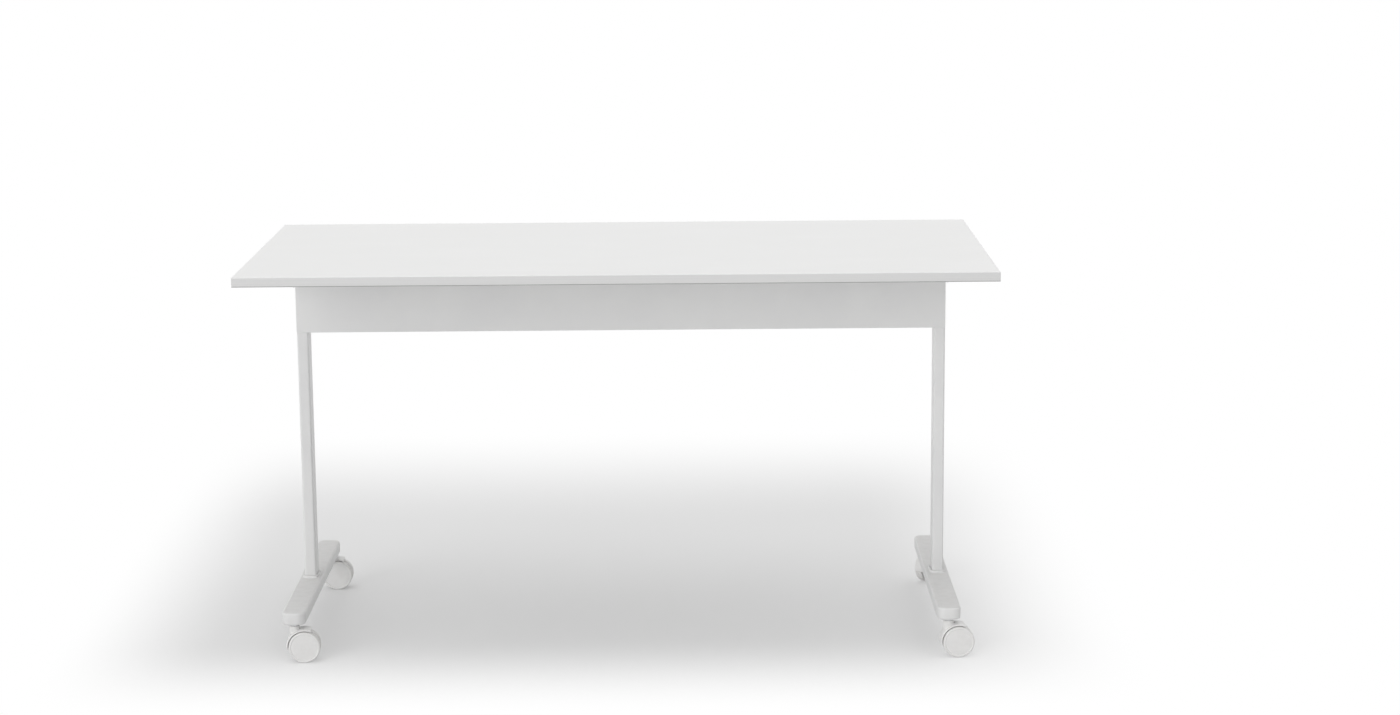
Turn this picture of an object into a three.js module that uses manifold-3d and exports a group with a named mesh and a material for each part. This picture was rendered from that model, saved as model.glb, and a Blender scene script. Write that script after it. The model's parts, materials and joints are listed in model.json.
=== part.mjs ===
// Flip top training table: a white board on two columns with castor feet.
// Millimetres, +Z up. The origin is on the floor under the middle of the top; -Y is the user's front.
import * as THREE from "three";
import { mergeVertices } from "three/addons/utils/BufferGeometryUtils.js";
import Module from "manifold-3d";

const wasm = await Module();
wasm.setup();

// Driving dimensions: the top
const TOP_LENGTH = 1400;
const TOP_DEPTH = 700;
const TOP_HEIGHT = 750;
const BOARD_THICKNESS = 18;
const BAND_THICKNESS = 2;
const BAND_EDGE_RADIUS = 1.5;

// Driving dimensions: the columns and the panel between them
const COLUMN_INSET = 81;
const COLUMN_WIDTH = 22;
const COLUMN_DEPTH = 45;
const COLUMN_WALL = 2;
const COLUMN_CORNER = 4;
const COLUMN_TOP_DROP = 30;
const COLUMN_END_PLUG = 25;
const PANEL_TOP_GAP = 27;
const PANEL_HEIGHT = 115;
const PANEL_SHEET = 1.5;
const PANEL_FLANGE = 18;
const PANEL_FOLD = 0.5;
const PANEL_EAR_SHEET = 2;
const PANEL_EAR_DEPTH = 38;
const PANEL_EAR_TOP_GAP = 5;
const PANEL_SCREW_INSET = 11;
const PANEL_SCREW_DIAMETER = 6;
const PANEL_SCREW_HEAD_DIAMETER = 11;
const PANEL_SCREW_HEAD_HEIGHT = 3.5;
const PANEL_SCREW_GRIP = 7;

// Driving dimensions: the feet
const FOOT_LENGTH = 560;
const FOOT_WIDTH = 45;
const FOOT_THICKNESS = 24;
const FOOT_UNDERSIDE = 74;
const FOOT_CORNER = 16;
const FOOT_EDGE = 4;
const FOOT_WALL = 5;
const FOOT_BOSS = 18;
const COLLAR_HEIGHT = 5;
const COLLAR_WALL = 3;
const FOOT_BOLT_DIAMETER = 10;
const FOOT_BOLT_HEAD_DIAMETER = 17;
const FOOT_BOLT_HEAD_HEIGHT = 7;
const FOOT_BOLT_GRIP = 20;

// Driving dimensions: the flip joint
const PIVOT_DROP = 42;
const PIVOT_FORWARD = 10;
const PIN_DIAMETER = 12;
const PIN_HEAD_DIAMETER = 20;
const PIN_HEAD_HEIGHT = 5;
const PIN_RIVET_HEIGHT = 3;
const BUSH_WALL = 1.8;
const BUSH_FLANGE = 1;
const BUSH_FLANGE_DIAMETER = 21;
const HEAD_PLUG_LENGTH = 20;
const HEAD_TOP_CLEARANCE = 5;
const HEAD_ARM_LENGTH = 38;
const HEAD_ARM_THICKNESS = 14;
const BUFFER_DIAMETER = 17;
const BUFFER_HEIGHT = 11;
const BUFFER_PEG_DIAMETER = 6;
const BUFFER_PEG_LENGTH = 8;
const CHEEK_THICKNESS = 4;
const CHEEK_RADIUS = 22;
const CHEEK_CHIN = 12;
const CHEEK_CUT = 14;
const CHEEK_RELIEF = 6;
const BRACKET_PLATE = 4;
const BRACKET_WIDTH = 58;
const BRACKET_LENGTH = 140;
const BRACKET_SCREW_DIAMETER = 6;
const BRACKET_SCREW_HEAD_DIAMETER = 12;
const BRACKET_SCREW_HEAD_HEIGHT = 4;
const BRACKET_SCREW_GRIP = 12;
const BRACKET_SCREW_EDGE = 14;

// Driving dimensions: the release bar that lifts both pawls
const BAR_DIAMETER = 10;
const BAR_BACK = 24;
const BAR_RISE = 22;
const BAR_OVERHANG = 8;
const BAR_LUG_WALL = 5;
const RELEASE_ANGLE = THREE.MathUtils.degToRad(14);
const PAWL_THICKNESS = 5;
const PAWL_HUB_RADIUS = 9;
const TOOTH_WIDTH = 6;
const TOOTH_LIFT = 0.8;
const PAWL_ARM_TOP = 11;
const NOTCH_WIDTH = 8.4;
const NOTCH_DEPTH = 6.6;
const HANDLE_WIDTH = 70;
const HANDLE_DROP = 56;
const HANDLE_BLADE = 5;
const HANDLE_HUB_WALL = 4;
const HANGER_SHEET = 3;
const HANGER_LUG_WALL = 5;
const HANGER_ROOT_HEIGHT = 34;
const SPRING_WIRE = 1.4;
const SPRING_TURNS = 5;
const SPRING_PITCH = 1.8;

// Driving dimensions: the twin-wheel castors
const CASTOR_INSET = 18;
const CASTOR_TRAIL = 18;
const WHEEL_RADIUS = 30;
const WHEEL_WIDTH = 15;
const WHEEL_EDGE = 2.5;
const WHEEL_DISC_RADIUS = 25;
const WHEEL_DISC_DISH = 0.8;
const AXLE_DIAMETER = 6;
const AXLE_DEPTH_IN_WHEEL = 11;
const HOOD_WEB = 5;
const HOOD_WALL = 3;
const HOOD_WHEEL_GAP = 2;
const HOOD_FRONT_ANGLE = THREE.MathUtils.degToRad(66);
const HOOD_BACK_ANGLE = THREE.MathUtils.degToRad(186);
const NECK_DIAMETER = 20;
const STEM_DIAMETER = 11;
const STEM_PIVOT_DIAMETER = 9;
const STEM_PIVOT_LENGTH = 10;
const STEM_COLLAR_DIAMETER = 19;
const STEM_COLLAR_HEIGHT = 3;
const STEM_SHANK_LENGTH = 19;

// Clearances shared by every fit
const FIT_GAP = 0.3;
const RUN_GAP = 0.4;
const SCREW_GAP = 0.3;

// Facets
const FINE = 24;
const ROUND = 16;
const SMALL = 8;

// Places worked out from the driving dimensions
const UNDERSIDE = TOP_HEIGHT - BOARD_THICKNESS;
const COLUMN_X = TOP_LENGTH / 2 - COLUMN_INSET;
const COLUMN_OUTER = COLUMN_X + COLUMN_WIDTH / 2;
const COLUMN_INNER = COLUMN_X - COLUMN_WIDTH / 2;
const FOOT_TOP = FOOT_UNDERSIDE + FOOT_THICKNESS;
const PIVOT_Y = -PIVOT_FORWARD;
const PIVOT_Z = UNDERSIDE - PIVOT_DROP;
const BAR_Y = PIVOT_Y + BAR_BACK;
const BAR_Z = PIVOT_Z + BAR_RISE;
const CHEEK_INNER = COLUMN_OUTER + BUSH_FLANGE + 2 * FIT_GAP;
const CHEEK_OUTER = CHEEK_INNER + CHEEK_THICKNESS;
const COLUMN_TOP = PIVOT_Z - COLUMN_TOP_DROP;
const PANEL_TOP = UNDERSIDE - PANEL_TOP_GAP;
const PANEL_BOTTOM = PANEL_TOP - PANEL_HEIGHT;
const PANEL_EAR_TOP = COLUMN_TOP - HEAD_PLUG_LENGTH - PANEL_EAR_TOP_GAP;
const PANEL_SCREW_HEIGHTS = [PANEL_BOTTOM + PANEL_SCREW_INSET, PANEL_EAR_TOP - PANEL_SCREW_INSET];
const PANEL_BACK = -COLUMN_DEPTH / 2 - FIT_GAP;
const CASTOR_Y = FOOT_LENGTH / 2 - CASTOR_INSET;
const BUFFER_SEAT = UNDERSIDE - FIT_GAP - BUFFER_HEIGHT - FIT_GAP;
const BUFFER_Y = COLUMN_DEPTH / 2 + HEAD_ARM_LENGTH - BUFFER_DIAMETER / 2 - FIT_GAP;
const HOOD_RADIUS = WHEEL_RADIUS + HOOD_WHEEL_GAP + HOOD_WALL;

const finish = (color, roughness, metalness) => new THREE.MeshStandardMaterial({ color, roughness, metalness });
const laminate = () => finish(0xf0f0ee, 0.45, 0);
const edgePlastic = () => finish(0xe8e8e6, 0.5, 0);
const whiteCoat = () => finish(0xe9e9e7, 0.4, 0.1);
const whitePlastic = () => finish(0xe4e2dd, 0.5, 0);
const zincSteel = () => finish(0xb4b6b8, 0.35, 0.9);
const blackRubber = () => finish(0x1d1d1e, 0.8, 0);
const greyNylon = () => finish(0x8d9092, 0.55, 0);

const table = new THREE.Group();

// A closed geometry as a solid for joining and cutting.
function solid(geometry) {
  const bare = geometry.clone();
  bare.deleteAttribute("normal");
  bare.deleteAttribute("uv");
  const merged = mergeVertices(bare, 1e-4);
  const vertProperties = new Float32Array(merged.attributes.position.array);
  const triVerts = new Uint32Array(merged.index.array);
  return new wasm.Manifold(new wasm.Mesh({ numProp: 3, vertProperties, triVerts }));
}

// A solid back as a geometry.
function geometryOf(shape) {
  const mesh = shape.getMesh();
  const geometry = new THREE.BufferGeometry();
  geometry.setAttribute("position", new THREE.BufferAttribute(mesh.vertProperties, 3));
  geometry.setIndex(new THREE.BufferAttribute(mesh.triVerts, 1));
  geometry.computeVertexNormals();
  return geometry;
}

function place(name, shape, material, parent = table) {
  const geometry = shape.isBufferGeometry ? shape : geometryOf(shape);
  const mesh = new THREE.Mesh(geometry, material);
  mesh.name = name;
  parent.add(mesh);
  return mesh;
}

// A block between two corners.
function block(x0, x1, y0, y1, z0, z1) {
  const box = new THREE.BoxGeometry(x1 - x0, y1 - y0, z1 - z0);
  return solid(box.translate((x0 + x1) / 2, (y0 + y1) / 2, (z0 + z1) / 2));
}

// A round rod along X, Y or Z from one end to the other.
function rodX(radius, x0, x1, y, z, facets = ROUND) {
  const rod = new THREE.CylinderGeometry(radius, radius, x1 - x0, facets).rotateZ(Math.PI / 2);
  return solid(rod.translate((x0 + x1) / 2, y, z));
}

function rodY(radius, y0, y1, x, z, facets = ROUND) {
  const rod = new THREE.CylinderGeometry(radius, radius, y1 - y0, facets);
  return solid(rod.translate(x, (y0 + y1) / 2, z));
}

function rodZ(radius, z0, z1, x, y, facets = ROUND) {
  const rod = new THREE.CylinderGeometry(radius, radius, z1 - z0, facets).rotateX(Math.PI / 2);
  return solid(rod.translate(x, y, (z0 + z1) / 2));
}

// A plan outline raised from z0 to z1.
function raised(outline, z0, z1, curveSegments = 2) {
  const options = { depth: z1 - z0, bevelEnabled: false, curveSegments };
  return solid(new THREE.ExtrudeGeometry(outline, options).translate(0, 0, z0));
}

// A side outline, drawn in Y and Z, carried along X from x0 to x1.
function carriedX(outline, x0, x1, curveSegments = 2) {
  const options = { depth: x1 - x0, bevelEnabled: false, curveSegments };
  const geometry = new THREE.ExtrudeGeometry(outline, options).translate(0, 0, x0);
  const turn = new THREE.Matrix4().makeBasis(
    new THREE.Vector3(0, 1, 0),
    new THREE.Vector3(0, 0, 1),
    new THREE.Vector3(1, 0, 0),
  );
  return solid(geometry.applyMatrix4(turn));
}

function polygon(points) {
  return new THREE.Shape(points.map(([u, v]) => new THREE.Vector2(u, v)));
}

// A rectangle with round corners about a centre.
function roundedRectangle(width, height, radius, u = 0, v = 0) {
  const shape = new THREE.Shape();
  const left = u - width / 2;
  const right = u + width / 2;
  const low = v - height / 2;
  const high = v + height / 2;
  shape.moveTo(left + radius, low);
  shape.lineTo(right - radius, low);
  shape.absarc(right - radius, low + radius, radius, -Math.PI / 2, 0);
  shape.lineTo(right, high - radius);
  shape.absarc(right - radius, high - radius, radius, 0, Math.PI / 2);
  shape.lineTo(left + radius, high);
  shape.absarc(left + radius, high - radius, radius, Math.PI / 2, Math.PI);
  shape.lineTo(left, low + radius);
  shape.absarc(left + radius, low + radius, radius, Math.PI, 1.5 * Math.PI);
  return shape;
}

function disc(radius, u, v) {
  return new THREE.Shape().absarc(u, v, radius, 0, 2 * Math.PI);
}

// The mirror image on the left of a solid that is drawn on the right.
const SIDES = [
  ["left", -1],
  ["right", 1],
];
const onSide = (shape, side) => (side > 0 ? shape : shape.mirror([1, 0, 0]));

// The four screws of one flip bracket, as plan places on the right side.
const SCREW_PLACES = [-1, 1].flatMap((end) =>
  [CHEEK_OUTER + BRACKET_SCREW_EDGE, CHEEK_INNER + BRACKET_WIDTH - BRACKET_SCREW_EDGE].map((x) => [
    x,
    end * (BRACKET_LENGTH / 2 - BRACKET_SCREW_EDGE),
  ]),
);

// The board, with the blind holes of the bracket screws in its underside, and its four edge bands.
function addTop() {
  const x = TOP_LENGTH / 2 - BAND_THICKNESS;
  const y = TOP_DEPTH / 2 - BAND_THICKNESS;
  let board = block(-x, x, -y, y, UNDERSIDE, TOP_HEIGHT);
  const radius = BRACKET_SCREW_DIAMETER / 2 + SCREW_GAP;
  const depth = BRACKET_SCREW_GRIP + 2 * SCREW_GAP;
  for (const [, side] of SIDES)
    for (const [px, py] of SCREW_PLACES)
      board = board.subtract(rodZ(radius, UNDERSIDE - 1, UNDERSIDE + depth, side * px, py, SMALL));
  place("tabletop_board", board, laminate());
  const section = bandSection();
  const long = carriedX(section, -TOP_LENGTH / 2, TOP_LENGTH / 2);
  place("edge_band_front", long.mirror([0, 1, 0]).translate([0, -y, UNDERSIDE]), edgePlastic());
  place("edge_band_rear", long.translate([0, y, UNDERSIDE]), edgePlastic());
  const short = carriedX(section, -y, y).rotate([0, 0, -90]);
  place("edge_band_right", short.translate([x, 0, UNDERSIDE]), edgePlastic());
  place("edge_band_left", short.mirror([1, 0, 0]).translate([-x, 0, UNDERSIDE]), edgePlastic());
}

// The section of an edge band: flat against the board, eased along its two outer edges.
function bandSection() {
  const shape = new THREE.Shape();
  const inner = BAND_THICKNESS - BAND_EDGE_RADIUS;
  shape.moveTo(0, 0);
  shape.lineTo(inner, 0);
  shape.absarc(inner, BAND_EDGE_RADIUS, BAND_EDGE_RADIUS, -Math.PI / 2, 0);
  shape.absarc(inner, BOARD_THICKNESS - BAND_EDGE_RADIUS, BAND_EDGE_RADIUS, 0, Math.PI / 2);
  shape.lineTo(0, BOARD_THICKNESS);
  return shape;
}

// The steel bracket under the board: a plate with a cheek that turns on the pivot pin.
// The cheek's round rim has one notch on top and one at the back, a quarter turn apart,
// and its neck leans away above the rim to leave room for the pawl's swing. The chin's front
// corner is cut off, so that the top's edge hides the cheek from a standing person's eye.
function flipBracket() {
  const plateTop = UNDERSIDE - FIT_GAP;
  const plateLow = plateTop - BRACKET_PLATE;
  let bracket = block(
    CHEEK_INNER,
    CHEEK_INNER + BRACKET_WIDTH,
    -BRACKET_LENGTH / 2,
    BRACKET_LENGTH / 2,
    plateLow,
    plateTop,
  );
  const neckFront = PIVOT_Y - CHEEK_RADIUS - BRACKET_PLATE;
  const neckBack = PIVOT_Y - NOTCH_WIDTH / 2;
  const neck = polygon([
    [neckFront - CHEEK_RADIUS, plateLow + 1],
    [neckFront, PIVOT_Z],
    [PIVOT_Y - CHEEK_RADIUS, PIVOT_Z - CHEEK_CHIN],
    [neckBack, PIVOT_Z - CHEEK_CHIN],
    [neckBack, PIVOT_Z + CHEEK_RADIUS],
    [neckBack - CHEEK_RELIEF, plateLow + 1],
  ]);
  bracket = bracket.add(carriedX(neck, CHEEK_INNER, CHEEK_OUTER));
  const rim = rodX(CHEEK_RADIUS, CHEEK_INNER, CHEEK_OUTER, PIVOT_Y, PIVOT_Z, FINE);
  const chin = PIVOT_Z - CHEEK_CHIN;
  const below = block(CHEEK_INNER - 1, CHEEK_OUTER + 1, PIVOT_Y - 60, PIVOT_Y + 60, chin - 60, chin);
  bracket = bracket.add(rim.subtract(below));
  const corner = polygon([
    [neckFront, PIVOT_Z],
    [PIVOT_Y - CHEEK_RADIUS + CHEEK_CUT, chin],
    [PIVOT_Y - CHEEK_RADIUS + CHEEK_CUT, chin - 1],
    [neckFront - 1, chin - 1],
    [neckFront - 1, PIVOT_Z],
  ]);
  bracket = bracket.subtract(carriedX(corner, CHEEK_INNER - 1, CHEEK_OUTER + 1));
  const floor = CHEEK_RADIUS - NOTCH_DEPTH;
  const half = NOTCH_WIDTH / 2;
  const topNotch = [PIVOT_Y - half, PIVOT_Y + half, PIVOT_Z + floor, PIVOT_Z + CHEEK_RADIUS + 1];
  const backNotch = [PIVOT_Y + floor, PIVOT_Y + CHEEK_RADIUS + 1, PIVOT_Z - half, PIVOT_Z + half];
  for (const notch of [topNotch, backNotch])
    bracket = bracket.subtract(block(CHEEK_INNER - 1, CHEEK_OUTER + 1, ...notch));
  const bore = PIN_DIAMETER / 2 + RUN_GAP + BUSH_WALL + FIT_GAP;
  bracket = bracket.subtract(rodX(bore, CHEEK_INNER - 1, CHEEK_OUTER + 1, PIVOT_Y, PIVOT_Z));
  const hole = BRACKET_SCREW_DIAMETER / 2 + SCREW_GAP;
  for (const [px, py] of SCREW_PLACES)
    bracket = bracket.subtract(rodZ(hole, plateLow - 1, plateTop + 1, px, py, SMALL));
  return bracket;
}

function bracketScrew([x, y]) {
  const seat = UNDERSIDE - FIT_GAP - BRACKET_PLATE - FIT_GAP;
  const head = rodZ(BRACKET_SCREW_HEAD_DIAMETER / 2, seat - BRACKET_SCREW_HEAD_HEIGHT, seat, x, y, SMALL);
  return head.add(rodZ(BRACKET_SCREW_DIAMETER / 2, seat - 1, UNDERSIDE + BRACKET_SCREW_GRIP, x, y, SMALL));
}

// The flanged nylon bush that the cheek turns on.
function pivotBush() {
  const inner = PIN_DIAMETER / 2 + RUN_GAP;
  const flange0 = COLUMN_OUTER + FIT_GAP;
  const flange = rodX(BUSH_FLANGE_DIAMETER / 2, flange0, flange0 + BUSH_FLANGE, PIVOT_Y, PIVOT_Z);
  const sleeve = rodX(inner + BUSH_WALL, flange0, CHEEK_OUTER, PIVOT_Y, PIVOT_Z);
  return flange.add(sleeve).subtract(rodX(inner, flange0 - 1, CHEEK_OUTER + 1, PIVOT_Y, PIVOT_Z));
}

// The riveted pivot pin, headed outside the cheek and peened over inside the column head.
function pivotPin() {
  const headStart = CHEEK_OUTER + FIT_GAP;
  const inside = COLUMN_INNER - FIT_GAP;
  const shank = rodX(PIN_DIAMETER / 2, inside - 1, headStart + 1, PIVOT_Y, PIVOT_Z);
  const head = rodX(PIN_HEAD_DIAMETER / 2, headStart, headStart + PIN_HEAD_HEIGHT, PIVOT_Y, PIVOT_Z);
  const rivet = rodX(PIN_HEAD_DIAMETER / 2 - 1, inside - PIN_RIVET_HEIGHT, inside, PIVOT_Y, PIVOT_Z);
  return shank.add(head).add(rivet);
}

// The cast column head: a plug in the tube, a lug with the pivot and bar bores, and an arm for the buffer.
function pivotHead() {
  const front = -COLUMN_DEPTH / 2;
  const back = COLUMN_DEPTH / 2;
  const seat = COLUMN_TOP + FIT_GAP;
  const top = UNDERSIDE - HEAD_TOP_CLEARANCE;
  const armTop = BUFFER_SEAT;
  const armLow = armTop - HEAD_ARM_THICKNESS;
  const shoulder = BAR_Y + BAR_DIAMETER / 2 + BAR_LUG_WALL;
  const barTop = BAR_Z + BAR_DIAMETER / 2 + BAR_LUG_WALL;
  const outline = polygon([
    [front, seat],
    [back, seat],
    [shoulder, armLow - HEAD_ARM_THICKNESS],
    [back + HEAD_ARM_LENGTH, armLow],
    [back + HEAD_ARM_LENGTH, armTop],
    [shoulder, armTop],
    [shoulder - BAR_LUG_WALL, Math.min(barTop, top)],
    [BAR_Y - BAR_LUG_WALL, Math.min(barTop, top)],
    [PIVOT_Y, PIVOT_Z + PIN_HEAD_DIAMETER],
    [front, PIVOT_Z + PIN_DIAMETER],
  ]);
  let head = carriedX(outline, COLUMN_INNER, COLUMN_OUTER);
  const inset = COLUMN_WALL + FIT_GAP;
  const plug = roundedRectangle(
    COLUMN_WIDTH - 2 * inset,
    COLUMN_DEPTH - 2 * inset,
    COLUMN_CORNER - COLUMN_WALL,
    COLUMN_X,
    0,
  );
  head = head.add(raised(plug, COLUMN_TOP - HEAD_PLUG_LENGTH, seat + 1));
  const pinBore = PIN_DIAMETER / 2 + FIT_GAP;
  const barBore = BAR_DIAMETER / 2 + RUN_GAP;
  head = head.subtract(rodX(pinBore, COLUMN_INNER - 1, COLUMN_OUTER + 1, PIVOT_Y, PIVOT_Z));
  head = head.subtract(rodX(barBore, COLUMN_INNER - 1, COLUMN_OUTER + 1, BAR_Y, BAR_Z));
  const peg = BUFFER_PEG_DIAMETER / 2 + FIT_GAP;
  const pegHole = armTop - BUFFER_PEG_LENGTH - 2 * FIT_GAP;
  return head.subtract(rodZ(peg, pegHole, armTop + 1, COLUMN_X, BUFFER_Y, SMALL));
}

// The rubber buffer that the level top rests on, pushed into the arm by its peg.
function stopBuffer() {
  const seat = BUFFER_SEAT + FIT_GAP;
  const pad = rodZ(BUFFER_DIAMETER / 2, seat, seat + BUFFER_HEIGHT, COLUMN_X, BUFFER_Y);
  const peg = rodZ(BUFFER_PEG_DIAMETER / 2, BUFFER_SEAT - BUFFER_PEG_LENGTH, seat + 1, COLUMN_X, BUFFER_Y, SMALL);
  return pad.add(peg);
}

// The column: a rectangular tube with a threaded plug welded into its lower end.
function column() {
  const outer = roundedRectangle(COLUMN_WIDTH, COLUMN_DEPTH, COLUMN_CORNER, COLUMN_X, 0);
  const inner = roundedRectangle(
    COLUMN_WIDTH - 2 * COLUMN_WALL,
    COLUMN_DEPTH - 2 * COLUMN_WALL,
    COLUMN_CORNER - COLUMN_WALL,
    COLUMN_X,
    0,
  );
  const bottom = FOOT_TOP + FIT_GAP;
  let tube = raised(outer, bottom, COLUMN_TOP);
  tube = tube.subtract(raised(inner, bottom + COLUMN_END_PLUG, COLUMN_TOP + 1));
  const bolt = FOOT_BOLT_DIAMETER / 2 + SCREW_GAP;
  tube = tube.subtract(rodZ(bolt, bottom - 1, bottom + COLUMN_END_PLUG + 1, COLUMN_X, 0, SMALL));
  for (const z of PANEL_SCREW_HEIGHTS)
    tube = tube.subtract(
      rodX(PANEL_SCREW_DIAMETER / 2 + SCREW_GAP, COLUMN_INNER - 1, COLUMN_INNER + COLUMN_WALL + 1, 0, z, SMALL),
    );
  return tube;
}

// The folded steel panel: a front web, a flange along its top and bottom, and an ear against each column.
function beamPanel() {
  const end = COLUMN_INNER - FIT_GAP;
  const front = PANEL_BACK - PANEL_SHEET;
  const middle = PANEL_BACK - PANEL_SHEET / 2;
  let panel = block(-COLUMN_OUTER, COLUMN_OUTER, front, PANEL_BACK, PANEL_BOTTOM, PANEL_TOP);
  const reach = end - PANEL_EAR_SHEET / 2;
  const lowFlange = PANEL_BOTTOM + PANEL_FOLD;
  for (const z of [lowFlange, PANEL_TOP - PANEL_FOLD - PANEL_SHEET])
    panel = panel.add(block(-reach, reach, middle, PANEL_BACK + PANEL_FLANGE, z, z + PANEL_SHEET));
  const earLow = lowFlange + PANEL_SHEET / 2;
  let ear = block(end - PANEL_EAR_SHEET, end, middle, PANEL_BACK + PANEL_EAR_DEPTH, earLow, PANEL_EAR_TOP);
  for (const z of PANEL_SCREW_HEIGHTS)
    ear = ear.subtract(rodX(PANEL_SCREW_DIAMETER / 2 + SCREW_GAP, end - PANEL_EAR_SHEET - 1, end + 1, 0, z, SMALL));
  for (const [, side] of SIDES) panel = panel.add(onSide(ear, side));
  return panel;
}

function panelScrew(z) {
  const seat = COLUMN_INNER - FIT_GAP - PANEL_EAR_SHEET - FIT_GAP;
  const tip = COLUMN_INNER + PANEL_SCREW_GRIP;
  const head = rodX(PANEL_SCREW_HEAD_DIAMETER / 2, seat - PANEL_SCREW_HEAD_HEIGHT, seat, 0, z, SMALL);
  return head.add(rodX(PANEL_SCREW_DIAMETER / 2, seat - 1, tip, 0, z, SMALL));
}

// The cast foot: a bar with eased edges, hollow below, with a collar round the column
// and bores for its bolt and the two castors.
function foot() {
  const plan = roundedRectangle(FOOT_WIDTH, FOOT_LENGTH, FOOT_CORNER, COLUMN_X, 0);
  const bar = new THREE.ExtrudeGeometry(plan, {
    depth: FOOT_THICKNESS - 2 * FOOT_EDGE,
    bevelThickness: FOOT_EDGE,
    bevelSize: FOOT_EDGE,
    bevelOffset: -FOOT_EDGE,
    bevelSegments: 2,
    curveSegments: 2,
  });
  let shape = solid(bar.translate(0, 0, FOOT_UNDERSIDE + FOOT_EDGE));
  const collarGrowth = 2 * (FIT_GAP + COLLAR_WALL);
  const collar = roundedRectangle(
    COLUMN_WIDTH + collarGrowth,
    COLUMN_DEPTH + collarGrowth,
    COLUMN_CORNER + FIT_GAP + COLLAR_WALL,
    COLUMN_X,
    0,
  );
  const socket = roundedRectangle(
    COLUMN_WIDTH + 2 * FIT_GAP,
    COLUMN_DEPTH + 2 * FIT_GAP,
    COLUMN_CORNER + FIT_GAP,
    COLUMN_X,
    0,
  );
  shape = shape.add(raised(collar, FOOT_TOP - 1, FOOT_TOP + COLLAR_HEIGHT));
  shape = shape.subtract(raised(socket, FOOT_TOP, FOOT_TOP + COLLAR_HEIGHT + 1));
  const below = FOOT_UNDERSIDE - 1;
  shape = shape.subtract(rodZ(FOOT_BOLT_DIAMETER / 2 + SCREW_GAP, below, FOOT_TOP + 1, COLUMN_X, 0, SMALL));
  const pocket = FOOT_BOLT_HEAD_DIAMETER / 2 + FIT_GAP;
  shape = shape.subtract(rodZ(pocket, below, FOOT_UNDERSIDE + FOOT_BOLT_HEAD_HEIGHT + 2 * FIT_GAP, COLUMN_X, 0));
  for (const end of [-1, 1]) {
    const top = FOOT_UNDERSIDE + STEM_SHANK_LENGTH + FIT_GAP;
    shape = shape.subtract(rodZ(STEM_DIAMETER / 2 + FIT_GAP, below, top, COLUMN_X, end * CASTOR_Y));
    const half = FOOT_WIDTH / 2 - FOOT_WALL;
    const near = COLUMN_DEPTH / 2 + FOOT_WALL;
    const hollow = block(-half, half, near, CASTOR_Y - FOOT_BOSS, below, FOOT_TOP - FOOT_WALL);
    shape = shape.subtract((end > 0 ? hollow : hollow.mirror([0, 1, 0])).translate([COLUMN_X, 0, 0]));
  }
  return shape;
}

function footBolt() {
  const low = FOOT_UNDERSIDE + FIT_GAP;
  const high = low + FOOT_BOLT_HEAD_HEIGHT;
  const head = rodZ(FOOT_BOLT_HEAD_DIAMETER / 2, low, high, COLUMN_X, 0);
  return head.add(rodZ(FOOT_BOLT_DIAMETER / 2, high - 1, FOOT_TOP + FOOT_BOLT_GRIP, COLUMN_X, 0, SMALL));
}

// The pawl on the end of the release bar, drawn lifted: its tooth stands just clear of the cheek's rim.
function pawl() {
  const tip = BAR_Z + CHEEK_RADIUS + TOOTH_LIFT - BAR_RISE;
  const root = tip + NOTCH_DEPTH - TOOTH_LIFT - 1;
  const toothFront = PIVOT_Y - TOOTH_WIDTH / 2;
  const toothBack = PIVOT_Y + TOOTH_WIDTH / 2;
  const outline = polygon([
    [toothFront, tip],
    [toothBack, tip],
    [toothBack, root],
    [BAR_Y - PAWL_HUB_RADIUS / 2, BAR_Z],
    [BAR_Y, BAR_Z + PAWL_HUB_RADIUS],
    [toothFront, BAR_Z + PAWL_ARM_TOP],
  ]);
  const inner = COLUMN_OUTER + FIT_GAP;
  const outer = inner + PAWL_THICKNESS;
  const hub = rodX(PAWL_HUB_RADIUS, inner, outer, BAR_Y, BAR_Z);
  const bore = rodX(BAR_DIAMETER / 2 + FIT_GAP, inner - 1, outer + 1, BAR_Y, BAR_Z);
  return carriedX(outline, inner, outer).add(hub).subtract(bore);
}

// The release handle hangs from the bar behind the panel. Drawn lifted, its blade is pushed forward.
function releaseHandle() {
  const half = HANDLE_WIDTH / 2;
  const hub = rodX(BAR_DIAMETER / 2 + HANDLE_HUB_WALL, -half, half, 0, 0);
  const blade = block(-half, half, -HANDLE_BLADE / 2, HANDLE_BLADE / 2, -HANDLE_DROP, 0);
  const grip = rodX(HANDLE_BLADE, -half, half, 0, -HANDLE_DROP);
  const bore = rodX(BAR_DIAMETER / 2 + FIT_GAP, -half - 1, half + 1, 0, 0);
  const handle = hub.add(blade).add(grip).subtract(bore);
  const lifted = handle.rotate([-THREE.MathUtils.radToDeg(RELEASE_ANGLE), 0, 0]);
  return lifted.translate([0, BAR_Y, BAR_Z]);
}

const SPRING_START = HANDLE_WIDTH / 2 + FIT_GAP + SPRING_WIRE / 2;
const SPRING_END = SPRING_START + SPRING_TURNS * SPRING_PITCH;

// The coil of the return spring, one wire along a helix round the bar.
class Coil extends THREE.Curve {
  getPoint(t, target = new THREE.Vector3()) {
    const radius = BAR_DIAMETER / 2 + FIT_GAP + SPRING_WIRE / 2;
    const turn = 2 * Math.PI * SPRING_TURNS * t;
    const x = SPRING_START + (SPRING_END - SPRING_START) * t;
    return target.set(x, BAR_Y + radius * Math.cos(turn), BAR_Z + radius * Math.sin(turn));
  }
}

function returnSpring() {
  const wire = disc(SPRING_WIRE / 2, 0, 0);
  const options = { extrudePath: new Coil(), steps: 12 * SPRING_TURNS, curveSegments: 3, bevelEnabled: false };
  return solid(new THREE.ExtrudeGeometry(wire, options));
}

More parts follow.
